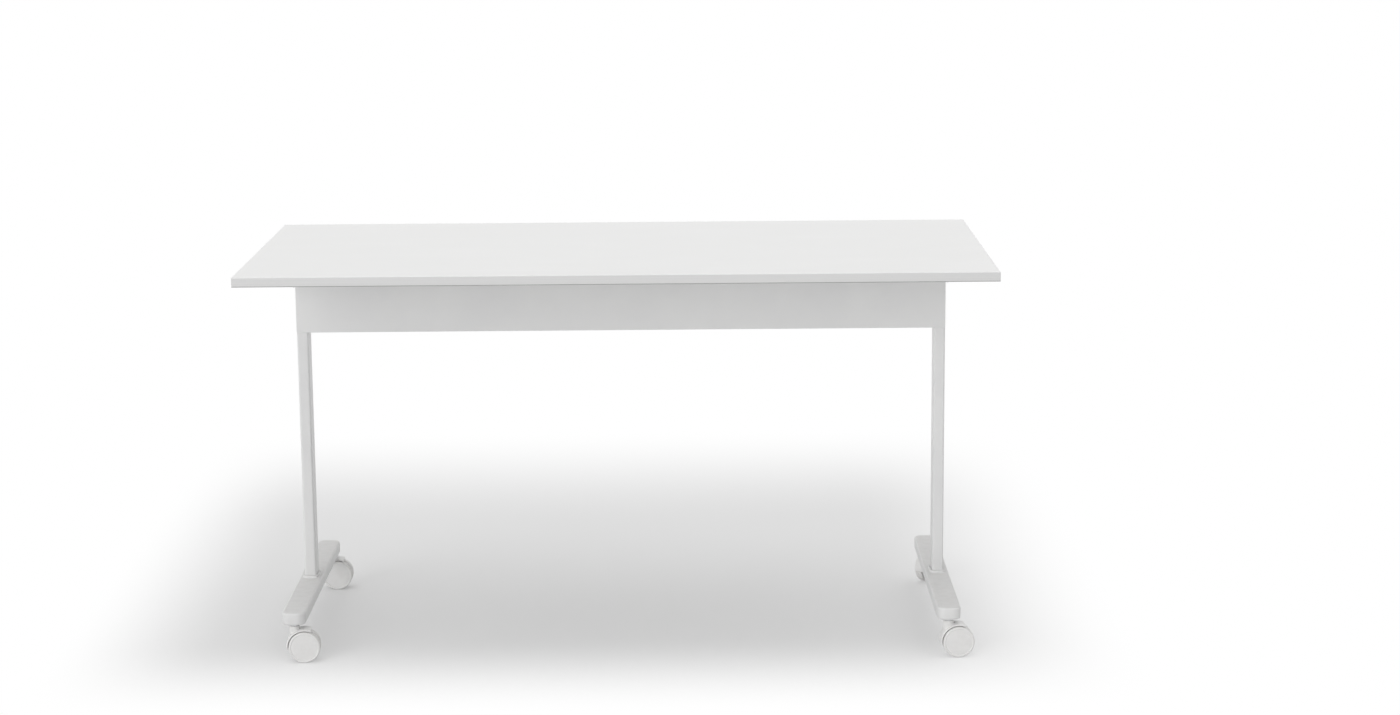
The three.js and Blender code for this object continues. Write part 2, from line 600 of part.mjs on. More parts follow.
// The hanger that carries the middle of the bar on the panel.
function barHanger() {
  const near = SPRING_END + SPRING_WIRE / 2 + FIT_GAP;
  const far = near + HANGER_SHEET;
  const root = PANEL_BACK + FIT_GAP;
  const under = PANEL_TOP - PANEL_FOLD - PANEL_SHEET - FIT_GAP;
  const behind = PANEL_BACK + PANEL_FLANGE + FIT_GAP;
  const radius = BAR_DIAMETER / 2 + RUN_GAP + HANGER_LUG_WALL;
  const outline = polygon([
    [root, under - HANGER_ROOT_HEIGHT],
    [BAR_Y + radius * Math.SQRT1_2, BAR_Z - radius * Math.SQRT1_2],
    [BAR_Y, BAR_Z],
    [behind, PANEL_TOP + PANEL_SHEET],
    [behind, under],
    [root, under],
  ]);
  const lug = rodX(radius, near, far, BAR_Y, BAR_Z);
  const bore = rodX(BAR_DIAMETER / 2 + RUN_GAP, near - 1, far + 1, BAR_Y, BAR_Z);
  return carriedX(outline, near, far).add(lug).subtract(bore);
}

// One castor in its own frame: the stem stands on the origin and the wheels trail along +X.
const HOOD_TOP = FOOT_UNDERSIDE - STEM_COLLAR_HEIGHT - 2 * FIT_GAP;
const WHEEL_INNER = HOOD_WEB / 2 + RUN_GAP;

function castorStem() {
  const collarLow = HOOD_TOP + FIT_GAP;
  const collarHigh = collarLow + STEM_COLLAR_HEIGHT;
  const collar = rodZ(STEM_COLLAR_DIAMETER / 2, collarLow, collarHigh, 0, 0);
  const shank = rodZ(STEM_DIAMETER / 2, collarHigh - 1, FOOT_UNDERSIDE + STEM_SHANK_LENGTH, 0, 0);
  const pivot = rodZ(STEM_PIVOT_DIAMETER / 2, collarLow - STEM_PIVOT_LENGTH, collarLow + 1, 0, 0);
  return collar.add(shank).add(pivot);
}

// An outline in X and Z carried along Y, centred on the wheels' middle plane.
function carriedY(outline, width, curveSegments = 8) {
  const options = { depth: width, bevelEnabled: false, curveSegments };
  const geometry = new THREE.ExtrudeGeometry(outline, options).translate(0, 0, -width / 2);
  return solid(geometry.rotateX(Math.PI / 2));
}

// The hood: a web between the wheels, a curved roof over them and the swivel neck.
function castorHood() {
  const sector = new THREE.Shape();
  const frontX = CASTOR_TRAIL + HOOD_RADIUS * Math.cos(HOOD_FRONT_ANGLE);
  const frontZ = WHEEL_RADIUS + HOOD_RADIUS * Math.sin(HOOD_FRONT_ANGLE);
  sector.moveTo(CASTOR_TRAIL, WHEEL_RADIUS);
  sector.lineTo(frontX, frontZ);
  sector.absarc(CASTOR_TRAIL, WHEEL_RADIUS, HOOD_RADIUS, HOOD_FRONT_ANGLE, HOOD_BACK_ANGLE);
  const roofWidth = 2 * (WHEEL_INNER + WHEEL_WIDTH - WHEEL_EDGE);
  let hood = carriedY(sector, roofWidth);
  const neckLow = WHEEL_RADIUS + HOOD_RADIUS / 2;
  hood = hood.add(rodZ(NECK_DIAMETER / 2, neckLow, HOOD_TOP, 0, 0));
  const pocket = WHEEL_RADIUS + HOOD_WHEEL_GAP;
  const side = rodY(pocket, HOOD_WEB / 2, WHEEL_INNER + 2 * WHEEL_WIDTH, CASTOR_TRAIL, WHEEL_RADIUS, FINE);
  hood = hood.subtract(side).subtract(side.mirror([0, 1, 0]));
  const boss = AXLE_DIAMETER;
  hood = hood.add(rodY(boss, -HOOD_WEB / 2, HOOD_WEB / 2, CASTOR_TRAIL, WHEEL_RADIUS));
  const axleBore = rodY(AXLE_DIAMETER / 2 + FIT_GAP, -HOOD_WEB, HOOD_WEB, CASTOR_TRAIL, WHEEL_RADIUS, SMALL);
  const boreLow = HOOD_TOP - STEM_PIVOT_LENGTH;
  const swivelBore = rodZ(STEM_PIVOT_DIAMETER / 2 + RUN_GAP, boreLow, HOOD_TOP + 1, 0, 0);
  return hood.subtract(axleBore).subtract(swivelBore);
}

function castorAxle() {
  const reach = WHEEL_INNER + AXLE_DEPTH_IN_WHEEL - FIT_GAP;
  return rodY(AXLE_DIAMETER / 2, -reach, reach, CASTOR_TRAIL, WHEEL_RADIUS, SMALL);
}

// One wheel, a moulded disc with a blind axle bore. A flat of its faceted tread rests on the floor.
function castorWheel() {
  const tread = WHEEL_RADIUS / Math.cos(Math.PI / FINE);
  const bore = AXLE_DIAMETER / 2 + RUN_GAP;
  const face = WHEEL_WIDTH - WHEEL_DISC_DISH;
  const profile = [
    [0, AXLE_DEPTH_IN_WHEEL],
    [bore, AXLE_DEPTH_IN_WHEEL],
    [bore, 0],
    [tread - WHEEL_EDGE, 0],
    [tread, WHEEL_EDGE],
    [tread, WHEEL_WIDTH - WHEEL_EDGE],
    [tread - WHEEL_EDGE, WHEEL_WIDTH],
    [WHEEL_DISC_RADIUS, WHEEL_WIDTH],
    [WHEEL_DISC_RADIUS - WHEEL_DISC_DISH, face],
    [0, face],
  ].map(([radius, along]) => new THREE.Vector2(radius, along));
  return new THREE.LatheGeometry(profile, FINE).rotateY(Math.PI / FINE);
}

function addCastor(name, side, end, swivel) {
  const castor = new THREE.Group();
  castor.position.set(side * COLUMN_X, end * CASTOR_Y, 0);
  castor.rotation.z = swivel;
  table.add(castor);
  place(name + "_stem", castorStem(), zincSteel(), castor);
  place(name + "_hood", castorHood(), whitePlastic(), castor);
  place(name + "_axle", castorAxle(), zincSteel(), castor);
  for (const [label, turn, y] of [
    ["wheel_rear", 0, WHEEL_INNER],
    ["wheel_front", Math.PI, -WHEEL_INNER],
  ]) {
    const wheel = place(name + "_" + label, castorWheel(), whitePlastic(), castor);
    wheel.rotation.x = turn;
    wheel.position.set(CASTOR_TRAIL, y, WHEEL_RADIUS);
  }
}

// How each castor happens to be turned, in degrees from trailing along +X.
const CASTORS = [
  ["castor_front_left", -1, -1, 4],
  ["castor_front_right", 1, -1, 4],
  ["castor_rear_left", -1, 1, 0],
  ["castor_rear_right", 1, 1, 50],
];

addTop();
for (const [label, side] of SIDES) {
  place("flip_bracket_" + label, onSide(flipBracket(), side), whiteCoat());
  place("pivot_bush_" + label, onSide(pivotBush(), side), greyNylon());
  place("pivot_pin_" + label, onSide(pivotPin(), side), zincSteel());
  place("pivot_head_" + label, onSide(pivotHead(), side), whiteCoat());
  place("stop_buffer_" + label, onSide(stopBuffer(), side), blackRubber());
  place("column_" + label, onSide(column(), side), whiteCoat());
  place("foot_" + label, onSide(foot(), side), whiteCoat());
  place("foot_bolt_" + label, onSide(footBolt(), side), zincSteel());
  place("pawl_" + label, onSide(pawl(), side), zincSteel());
  SCREW_PLACES.forEach((spot, i) =>
    place("bracket_screw_" + label + "_" + (i + 1), onSide(bracketScrew(spot), side), zincSteel()),
  );
  PANEL_SCREW_HEIGHTS.forEach((z, i) =>
    place("panel_screw_" + label + "_" + (i + 1), onSide(panelScrew(z), side), zincSteel()),
  );
}
place("beam_panel", beamPanel(), whiteCoat());
const barEnd = COLUMN_OUTER + BAR_OVERHANG;
place("release_bar", rodX(BAR_DIAMETER / 2, -barEnd, barEnd, BAR_Y, BAR_Z), zincSteel());
place("release_handle", releaseHandle(), greyNylon());
place("return_spring", returnSpring(), zincSteel());
place("bar_hanger", barHanger(), whiteCoat());
for (const [name, side, end, degrees] of CASTORS) addCastor(name, side, end, THREE.MathUtils.degToRad(degrees));

export default table;
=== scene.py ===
# %% [markdown]
# # A white flip top training table
# The table is a laminate board on two slim columns, with long low feet on twin-wheel castors. The CAD
# frame holds every piece at its real size, so this lesson only dresses it: each cell makes one kind of
# piece as a smooth surface, or one kind of finish, and puts it exactly where the frame has it.

# %% Load the frame
import json

import bpy
import numpy as np
from mathutils import Matrix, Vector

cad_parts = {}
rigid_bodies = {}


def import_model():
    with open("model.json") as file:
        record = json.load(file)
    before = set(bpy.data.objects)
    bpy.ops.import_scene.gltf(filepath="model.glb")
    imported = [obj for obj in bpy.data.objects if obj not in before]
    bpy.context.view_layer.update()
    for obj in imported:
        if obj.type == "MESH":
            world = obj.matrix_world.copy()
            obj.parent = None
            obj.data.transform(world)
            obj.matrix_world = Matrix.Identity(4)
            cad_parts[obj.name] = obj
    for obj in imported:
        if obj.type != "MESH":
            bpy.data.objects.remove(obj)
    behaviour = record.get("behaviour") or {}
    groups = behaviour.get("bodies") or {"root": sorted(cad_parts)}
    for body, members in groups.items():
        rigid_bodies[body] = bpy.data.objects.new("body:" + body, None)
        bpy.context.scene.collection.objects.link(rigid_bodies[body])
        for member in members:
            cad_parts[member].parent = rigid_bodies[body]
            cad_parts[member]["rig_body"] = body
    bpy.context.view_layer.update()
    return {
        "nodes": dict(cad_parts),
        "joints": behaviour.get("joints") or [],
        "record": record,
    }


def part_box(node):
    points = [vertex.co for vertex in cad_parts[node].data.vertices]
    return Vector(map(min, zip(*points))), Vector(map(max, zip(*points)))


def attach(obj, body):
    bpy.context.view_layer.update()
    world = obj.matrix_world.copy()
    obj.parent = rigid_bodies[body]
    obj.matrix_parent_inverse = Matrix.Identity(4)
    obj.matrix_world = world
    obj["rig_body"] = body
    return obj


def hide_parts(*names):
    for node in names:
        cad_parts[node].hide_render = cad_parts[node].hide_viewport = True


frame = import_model()
nodes = frame["nodes"]
joints = {joint["name"]: joint for joint in frame["joints"]}
slot_of = {part["node"]: part["material_slot"] for part in frame["record"]["subparts"]}

# %% [markdown]
# ## The camera
# The photograph looks slightly down on the table from about five metres. Its focal length, place and
# angles come from matching the corners of the top and the feet. A camera can be aimed with a Track To
# constraint, but three angles in a matrix keep the small roll of the picture, so those are used.

# %% Camera
FOCAL_WIDTHS = 2802.09 / 1400
YAW, PITCH, ROLL = 0.00370, 0.18580, -0.00736
CAMERA_PLACE = (0.13303, -5.38433, 1.54221)


def camera_matrix(place, yaw, pitch, roll):
    """Columns right, up and backward. Yaw turns the level heading, pitch tips it down and roll turns the
    picture about it."""
    level = np.array([np.sin(yaw), np.cos(yaw), 0])
    right = np.array([np.cos(yaw), -np.sin(yaw), 0])
    sky = np.array([0, 0, 1.0])
    forward = level * np.cos(pitch) - sky * np.sin(pitch)
    up = sky * np.cos(pitch) + level * np.sin(pitch)
    matrix = np.eye(4)
    matrix[:3, 0] = right * np.cos(roll) + up * np.sin(roll)
    matrix[:3, 1] = up * np.cos(roll) - right * np.sin(roll)
    matrix[:3, 2] = -forward
    matrix[:3, 3] = place
    return Matrix(matrix.tolist())


camera = bpy.data.objects.new("camera", bpy.data.cameras.new("camera"))
bpy.context.collection.objects.link(camera)
camera.data.sensor_fit = "HORIZONTAL"
camera.data.lens = FOCAL_WIDTHS * camera.data.sensor_width
camera.data.clip_end = 200
camera.matrix_world = camera_matrix(CAMERA_PLACE, YAW, PITCH, ROLL)
bpy.context.scene.camera = camera
bpy.context.scene.view_settings.view_transform = "Standard"
print("lens", round(camera.data.lens, 2), "mm at", CAMERA_PLACE)

# %% [markdown]
# ## Shader sums
# A finish is a small calculation: noise times a strength, plus a colour. Wiring Math nodes by hand hides
# that sum, so one class wraps a socket and lets plain Python operators add the nodes.

# %% Val, a socket in a sum


class Val:
    """A shader socket that takes part in Python expressions; each operator adds one Math node."""

    def __init__(self, tree, socket=None):
        self.tree = tree
        self.socket = socket

    def node(self, kind, settings, inputs, out=0):
        """Adds a node of a kind, sets its settings first, then gives each socket its value or link."""
        made = self.tree.nodes.new("ShaderNode" + kind)
        for key, value in settings.items():
            setattr(made, key, value)
        for key, value in inputs.items():
            if isinstance(value, Val):
                self.tree.links.new(value.socket, made.inputs[key])
            else:
                made.inputs[key].default_value = value
        return Val(self.tree, made.outputs[out] if len(made.outputs) else None)

    def math(self, operation, a, b):
        """One Math node on two values or numbers."""
        return self.node("Math", {"operation": operation}, {0: a, 1: b})

    def __add__(self, other):
        return self.math("ADD", self, other)

    def __radd__(self, other):
        return self.math("ADD", other, self)

    def __sub__(self, other):
        return self.math("SUBTRACT", self, other)

    def __rsub__(self, other):
        return self.math("SUBTRACT", other, self)

    def __mul__(self, other):
        return self.math("MULTIPLY", self, other)

    def __rmul__(self, other):
        return self.math("MULTIPLY", other, self)

    def __or__(self, other):
        """The larger of the two."""
        return self.math("MAXIMUM", self, other)

    def step(self, low, high):
        """0 below low, 1 above high, and a smooth rise between."""
        inputs = {"Value": self, "From Min": low, "From Max": high}
        return self.node("MapRange", {"interpolation_type": "SMOOTHSTEP"}, inputs)

    def paint(self, a, b):
        """The colour a where this is 0 and b where it is 1."""
        return self.node("Mix", {"data_type": "RGBA"}, {0: self, 6: a, 7: b}, 2)

    def stretch(self, scale):
        """This vector times a scale on each axis; a pattern gets finer along an axis with a large scale."""
        return self.node("Mapping", {}, {"Vector": self, "Scale": scale})

    def noise(self, scale, detail=2.0):
        """Soft noise between 0 and 1, with about that many bumps to the metre."""
        return self.node("TexNoise", {}, {"Vector": self, "Scale": scale, "Detail": detail})

    def axis(self, name):
        """One component of this vector."""
        return self.node("SeparateXYZ", {}, {"Vector": self}, name)

    def bump(self, strength, distance):
        """This height, in shares of a distance in metres, as a tilt of the surface."""
        return self.node("Bump", {}, {"Strength": strength, "Distance": distance, "Height": self})

    def feed(self, shader, name):
        """Links this to a socket of the shader."""
        self.tree.links.new(self.socket, shader.inputs[name])


def finish(name, **constants):
    """A new material, its Principled shader with the constants set, and the Object coordinates as a Val.
    A constant stands in wherever a viewer leaves out the nodes."""
    made = bpy.data.materials.new(name)
    made.use_nodes = True
    shader = made.node_tree.nodes["Principled BSDF"]
    for key, value in constants.items():
        shader.inputs[key.replace("_", " ")].default_value = value
    return made, shader, Val(made.node_tree).node("TexCoord", {}, {}, "Object")


def tone(level, tint=(1, 1, 1)):
    """An opaque colour: the level times the tint."""
    return (level * tint[0], level * tint[1], level * tint[2], 1)


print("a warm tone of 0.9:", tone(0.9, (1, 0.99, 0.97)))

# %% [markdown]
# ## The studio
# The picture has no visible wall: a pale floor runs off into white, with soft grey shade under the table.
# A backdrop sheet could do that, but at this low angle the floor itself fills the view. It is a matt
# surface near the table, where it takes the shade, and turns into plain white light on all four sides, for
# the eye and for reflections only. Near the table a fifth of that white glow stays mixed in, painted light
# that lifts the floor's shade there. One even sky would light the edges as brightly as the top, so the sky
# is strong overhead and weak at the sides, and one low soft sun fills the front from the left.

# %% Floor
FLOOR_TONE, SHADE_KEPT, HALF_FLOOR = 0.78, 0.8, 60.0


def plain_rays(start):
    """1 for a ray from the eye, off a mirror or through glass: the largest of three Light Path outputs."""
    seen = start.node("LightPath", {}, {}, "Is Camera Ray")
    mirrored = start.node("LightPath", {}, {}, "Is Glossy Ray")
    passed = start.node("LightPath", {}, {}, "Is Transmission Ray")
    return seen | mirrored | passed


floor_finish = bpy.data.materials.new("studio_floor")
floor_finish.use_nodes = True
floor_tree = floor_finish.node_tree
floor_tree.nodes.clear()
start = Val(floor_tree)
where = start.node("TexCoord", {}, {}, "Object")
wide, deep = where.axis("X"), where.axis("Y")
between = wide.step(-1.1, -0.75) * (1 - wide.step(0.5, 1.0))
shade = between * deep.step(-0.60, -0.12) * (1 - deep.step(0.8, 1.8))
# painted light: where shade is 1, a fifth of the white glow still mixes into the floor and lifts its shadow
far = (1 - SHADE_KEPT * shade) * plain_rays(start)
matt = start.node("BsdfDiffuse", {}, {"Color": tone(FLOOR_TONE)})
white = start.node("Emission", {}, {"Color": tone(1), "Strength": 1.0})
mixed = start.node("MixShader", {}, {0: far, 1: matt, 2: white})
start.node("OutputMaterial", {}, {"Surface": mixed})

floor_mesh = bpy.data.meshes.new("floor")
corners = HALF_FLOOR * np.array([[-1, -1, 0], [1, -1, 0], [1, 1, 0], [-1, 1, 0]])
floor_mesh.from_pydata(corners, [], [[0, 1, 2, 3]])
floor_mesh.materials.append(floor_finish)
floor = bpy.data.objects.new("floor", floor_mesh)
bpy.context.collection.objects.link(floor)
print("floor", 2 * HALF_FLOOR, "m wide")

# %% Light
SKY_SIDES, SKY_OVERHEAD = 0.31, 1.26
SUN_STRENGTH, SUN_WIDTH, SUN_TURN = 1.0, 36, (77, 0, -34)
world = bpy.data.worlds.new("studio")
bpy.context.scene.world = world
world.use_nodes = True
world.node_tree.nodes.clear()
start = Val(world.node_tree)
height = start.node("TexCoord", {}, {}, "Generated").axis("Z") | 0.0
soft_box = SKY_SIDES + SKY_OVERHEAD * height * height * height
plain = plain_rays(start)
sky = start.node("Background", {}, {"Color": tone(1), "Strength": soft_box * (1 - plain) + plain})
start.node("OutputWorld", {}, {"Surface": sky})

sun = bpy.data.objects.new("sun", bpy.data.lights.new("sun", "SUN"))
sun.data.energy = SUN_STRENGTH
sun.data.angle = np.radians(SUN_WIDTH)
sun.rotation_euler = np.radians(SUN_TURN)
bpy.context.collection.objects.link(sun)
print("sky", SKY_SIDES, "at the sides and", SKY_SIDES + SKY_OVERHEAD, "overhead, sun", SUN_STRENGTH)

# %% [markdown]
# ## The finishes
# Nearly everything on this table is white, so what tells one piece from another is texture and gloss.
# Image textures would need files; procedural noise on Object coordinates has its true size in metres, and
# one finish serves pieces of any shape.
#
# **Laminate.** Melamine paper pressed on particle board: a fine pearl grain under a satin skin, with a
# very faint cloudiness and some rubbed patches where hands and books slide.

# %% Laminate
PEARLS = 1400.0
laminate, shader, place = finish("laminate", Roughness=0.42, IOR=1.47)
cloud = place.noise(9.0, 4.0)
grain = place.noise(PEARLS, 2.0)
rubbed = place.stretch((3.0, 14.0, 3.0)).noise(1.6, 4.0).step(0.5, 0.72)
colour = (0.35 * cloud + 0.65 * grain).step(0.3, 0.7)
colour.paint(tone(0.880, (1, 1, 0.992)), tone(0.905, (1, 1, 0.994))).feed(shader, "Base Color")
(0.44 + 0.10 * (cloud - 0.5) - 0.07 * rubbed).feed(shader, "Roughness")
grain.bump(0.10, 0.0002).feed(shader, "Normal")
print("laminate: pearl grain of about", round(1 / PEARLS * 1000, 2), "mm")

# %% [markdown]
# ** Edge band.** A strip of extruded plastic glued round the board. The die leaves fine lines along its
# length, which depend on the height alone, so the noise is stretched until only the height counts. The
# upper arris is painted lighter as a painted highlight. The lower arris and the band's underside are
# painted dark as painted shade, where the round turns down away from the light.

# %% Edge band plastic
PAINTED_SHADE_HEIGHTS, PAINTED_HIGHLIGHT_HEIGHTS = (0.7325, 0.7340), (0.7483, 0.7496)
edge_plastic, shader, place = finish("edge_plastic", Roughness=0.4, IOR=1.5)
lines = place.stretch((1.0, 1.0, 900.0)).noise(2.0, 3.0)
speck = place.noise(700.0, 2.0)
height = place.axis("Z")
# painted shade: below this height the band's lower round and underside are painted dark
painted_shade = 1 - height.step(*PAINTED_SHADE_HEIGHTS)
# painted highlight: above this height the band's upper round is painted light
painted_highlight = height.step(*PAINTED_HIGHLIGHT_HEIGHTS)
drawn = (0.7 * lines + 0.3 * speck).step(0.3, 0.7).paint(tone(0.73), tone(0.77, (1, 1, 0.994)))
drawn_with_painted_highlight = painted_highlight.paint(drawn, tone(0.90))
(0.95 * painted_shade).paint(drawn_with_painted_highlight, tone(0.24, (1, 0.99, 0.97))).feed(shader, "Base Color")
(0.34 + 0.14 * lines).feed(shader, "Roughness")
(0.8 * lines + 0.2 * speck).bump(0.12, 0.0002).feed(shader, "Normal")
print("edge band: dark below", PAINTED_SHADE_HEIGHTS[1], "m and scraped above", PAINTED_HIGHLIGHT_HEIGHTS[0], "m")

# %% [markdown]
# **Powder coat.** The steel and the cast feet carry a baked powder that flows into a skin like orange
# peel: round bumps about two millimetres across and a few hundredths high. Dust settles in the peel near
# the floor, most of all on faces that look up, so the tone drops a little there.

# %% White powder coat
PEEL_BUMPS = 520.0
white_coat, shader, place = finish("white_coat", Roughness=0.36, IOR=1.5)
peel = place.noise(PEEL_BUMPS, 1.0)
fine = place.noise(2600.0, 1.0)
patch = place.noise(9.0, 3.0)
low = 1 - place.axis("Z").step(0.06, 0.2)
flat = place.node("NewGeometry", {}, {}, "Normal").axis("Z").step(0.55, 0.95)
dust = low * (0.25 + 0.75 * flat) * (0.75 + 0.25 * place.noise(60.0, 4.0).step(0.35, 0.75))
clean = patch.step(0.3, 0.7).paint(tone(0.805), tone(0.835, (1, 1, 0.995)))
(0.66 * dust).paint(clean, tone(0.60, (1, 0.985, 0.96))).feed(shader, "Base Color")
(0.33 + 0.10 * peel + 0.2 * dust).feed(shader, "Roughness")
(0.85 * peel + 0.15 * fine).bump(0.16, 0.0004).feed(shader, "Normal")
print("powder coat: peel of about", round(1 / PEEL_BUMPS * 1000, 2), "mm")

# %% [markdown]
# **Castor nylon.** Warm off-white mouldings with a faint flow pattern. The tread picks up dirt, so the
# wheels carry an attribute that says how near the tread each point is, and the finish reads it.

# %% Castor plastic
castor_plastic, shader, place = finish("castor_plastic", Roughness=0.42, IOR=1.53)
flow = place.noise(70.0, 3.0)
grit = place.noise(900.0, 3.0)
tread = Val(castor_plastic.node_tree).node("Attribute", {"attribute_name": "tread"}, {}, "Fac")
dirt = tread * (0.25 + 0.75 * grit.step(0.4, 0.7))
bare = flow.step(0.3, 0.7).paint(tone(0.84, (1, 0.992, 0.98)), tone(0.87, (1, 0.994, 0.984)))
(0.45 * dirt).paint(bare, tone(0.42, (1, 0.95, 0.88))).feed(shader, "Base Color")
(0.36 + 0.12 * flow + 0.3 * dirt).feed(shader, "Roughness")
(0.5 * flow + 0.5 * grit).bump(0.08, 0.0002).feed(shader, "Normal")
print("castor plastic: reads the attribute tread")

# %% [markdown]
# **Zinc plate, rubber and grey nylon.** The fasteners, stems and the release bar are bright zinc with a
# crystal mottle; the buffers are matt black rubber; the bushes and the handle are grey glass-filled nylon.

# %% Zinc plated steel
CRYSTALS = 420.0
zinc_steel, shader, place = finish("zinc_steel", Metallic=1.0, Roughness=0.35)
crystal = place.node("TexVoronoi", {}, {"Vector": place, "Scale": CRYSTALS}, "Distance")
streak = place.stretch((1.0, 1.0, 12.0)).noise(160.0, 3.0)
mottle = (0.55 * crystal + 0.6 * streak).step(0.2, 0.8)
mottle.paint(tone(0.54, (1, 1, 1.03)), tone(0.64, (1, 1.005, 1.02))).feed(shader, "Base Color")
(0.26 + 0.2 * streak).feed(shader, "Roughness")
streak.bump(0.06, 0.0002).feed(shader, "Normal")
print("zinc: crystals of about", round(1 / CRYSTALS * 1000, 2), "mm")

# %% Rubber and grey nylon
COOL = (1, 1.01, 1.03)
black_rubber, shader, place = finish("black_rubber", Roughness=0.75, IOR=1.5)
bloom = place.noise(120.0, 4.0)
bloom.step(0.35, 0.75).paint(tone(0.022), tone(0.045, (1, 1, 0.97))).feed(shader, "Base Color")
(0.66 + 0.2 * bloom).feed(shader, "Roughness")
place.noise(1500.0, 2.0).bump(0.2, 0.0002).feed(shader, "Normal")

grey_nylon, shader, place = finish("grey_nylon", Roughness=0.5, IOR=1.53)
fibre = place.stretch((0.25, 1.0, 1.0)).noise(900.0, 3.0)
spark = place.noise(1800.0, 1.0)
fibre.step(0.3, 0.7).paint(tone(0.27, COOL), tone(0.33, COOL)).feed(shader, "Base Color")
(0.42 + 0.2 * fibre).feed(shader, "Roughness")
(0.6 * fibre + 0.4 * spark).bump(0.22, 0.0003).feed(shader, "Normal")
FINISHES = {
    "laminate": laminate,
    "edge_plastic": edge_plastic,
    "white_coat": white_coat,
    "castor_plastic": castor_plastic,
    "zinc_steel": zinc_steel,
    "black_rubber": black_rubber,
    "grey_nylon": grey_nylon,
}
print("finishes:", ", ".join(FINISHES))

# %% [markdown]
# ## From rings to pieces
# Every shape here is a stack of closed rings: a fillet is a few rings that shrink, a tube is two rings
# far apart, a wheel is one profile point per ring. Blender could extrude and bevel the same forms with
# operators, but rings computed as whole arrays give exact radii and can be read as a formula.

# %% Rings, shells and pieces
MM = 0.001
CRISP = np.radians(30)
SIDES = {"left": -1, "right": 1}


def skin(rings, closed=False):
    """Quads join point k of each ring to point k + 1 of the next, all the way round.
    A flat face closes each end, or the last ring joins the first. The enclosed volume, a sixth of the
    sum of a . (b x c) over the triangles, is made positive, so that the faces point outward."""
    rings = np.asarray(rings, float)
    count, around = rings.shape[:2]
    index = np.arange(count * around).reshape(count, around)
    here = index if closed else index[:-1]
    there = np.roll(index, -1, 0) if closed else index[1:]
    quads = np.stack([here, np.roll(here, -1, 1), np.roll(there, -1, 1), there], -1).reshape(-1, 4)
    ends = [] if closed else [index[0, ::-1], index[-1]]
    fans = [np.stack([np.full(around - 2, end[0]), end[1:-1], end[2:]], -1) for end in ends]
    triangles = np.concatenate([quads[:, :3], quads[:, [0, 2, 3]], *fans])
    points = rings.reshape(-1, 3)
    a, b, c = (points[triangles[:, corner]] for corner in range(3))
    turn = 1 if np.sum(a * np.cross(b, c)) > 0 else -1
    return points, [face[::turn].tolist() for face in [*quads, *ends]]


def crisp(mesh):
    """Smooth shading, broken along edges where two faces meet at more than 30 degrees."""
    mesh.shade_smooth()
    mesh.set_sharp_from_angle(angle=CRISP)


def mesh_of(name, shells):
    """One mesh from closed shells in millimetres."""
    starts = np.cumsum([0] + [len(points) for points, _ in shells])
    points = np.concatenate([points for points, _ in shells]) * MM
    faces = [[i + start for i in face] for start, (_, shell) in zip(starts, shells) for face in shell]
    mesh = bpy.data.meshes.new(name)
    mesh.from_pydata(points, [], faces)
    crisp(mesh)
    return mesh


def piece(node, shells):
    """An object that stands for one CAD node, with the node's body, slot and finish."""
    obj = bpy.data.objects.new(node + "_form", mesh_of(node + "_form", shells))
    obj.data.materials.append(FINISHES[slot_of[node]])
    bpy.context.collection.objects.link(obj)
    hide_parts(node)
    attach(obj, nodes[node]["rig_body"])
    return obj


def centre(node):
    """The middle of a CAD node's box, in millimetres."""
    low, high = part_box(node)
    return (np.array(low) + np.array(high)) / 2 / MM


print("the board's middle:", np.round(centre("tabletop_board"), 2).tolist(), "mm")

# %% [markdown]
# ## The top
# The board is a flat slab, and the CAD node is already exactly that, so it only gets the laminate. The
# edge bands show their rounded lips in every picture, so each is a section carried along its edge. The
# two long bands turn the corner of the top in a quarter round as thick as the band.

# %% Board and edge bands
nodes["tabletop_board"].material_slots[0].material = laminate
BOARD, BAND, LIP, INSIDE = 18.0, 2.0, 1.5, 0.4
HALF_LONG, HALF_DEEP = 700.0, 348.0


def band_section(steps=8):
    """Points (out, up): straight against the board, with a quarter circle of the lip's radius on both
    outer edges, and a point just inside each end of the face, which keeps its shading flat."""
    a = np.linspace(-np.pi / 2, 0, steps + 1)
    round_low = np.stack([BAND - LIP + LIP * np.cos(a), LIP + LIP * np.sin(a)], -1)
    round_high = np.stack([BAND - LIP + LIP * np.cos(a), BOARD - LIP - LIP * np.sin(a)], -1)[::-1]
    face = np.array([[BAND, LIP + INSIDE], [BAND, BOARD - LIP - INSIDE]])
    return np.concatenate([[[0, 0]], round_low, face, round_high, [[0, BOARD]]])


def band(node, half, turned):
    """The section carried from -half to half along the edge; out(u) = sqrt(t^2 - (t - d)^2) at a distance d
    from an end closer than the thickness t, so that the corner is round in plan."""
    low, high = (np.array(corner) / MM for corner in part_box(node))
    d = BAND * (1 - np.cos(np.linspace(0.02, np.pi / 2, 9))) if turned else np.array([0.0])
    u = np.concatenate([d - half, (half - d)[::-1]])
    near = np.minimum(half - np.abs(u), BAND)
    thick = np.sqrt(np.maximum(BAND**2 - (BAND - near) ** 2, 1e-3)) if turned else BAND
    section = band_section()
    along = np.broadcast_to(u[:, None], (len(u), len(section)))
    out = np.broadcast_to(thick, u.shape)[:, None] / BAND * section[:, 0]
    up = np.broadcast_to(section[:, 1], along.shape) + low[2]
    across = 1 if node.endswith(("front", "rear")) else 0
    side = -1 if node.endswith(("front", "left")) else 1
    wall = high[across] - BAND if side > 0 else low[across] + BAND
    rings = np.stack([along, wall + side * out, up], -1)
    return piece(node, [skin(rings if across else rings[..., [1, 0, 2]])])


for name in ("front", "rear"):
    band("edge_band_" + name, HALF_LONG, True)
for name in ("left", "right"):
    band("edge_band_" + name, HALF_DEEP, False)
print("edge bands", BAND, "mm thick with", LIP, "mm lips")

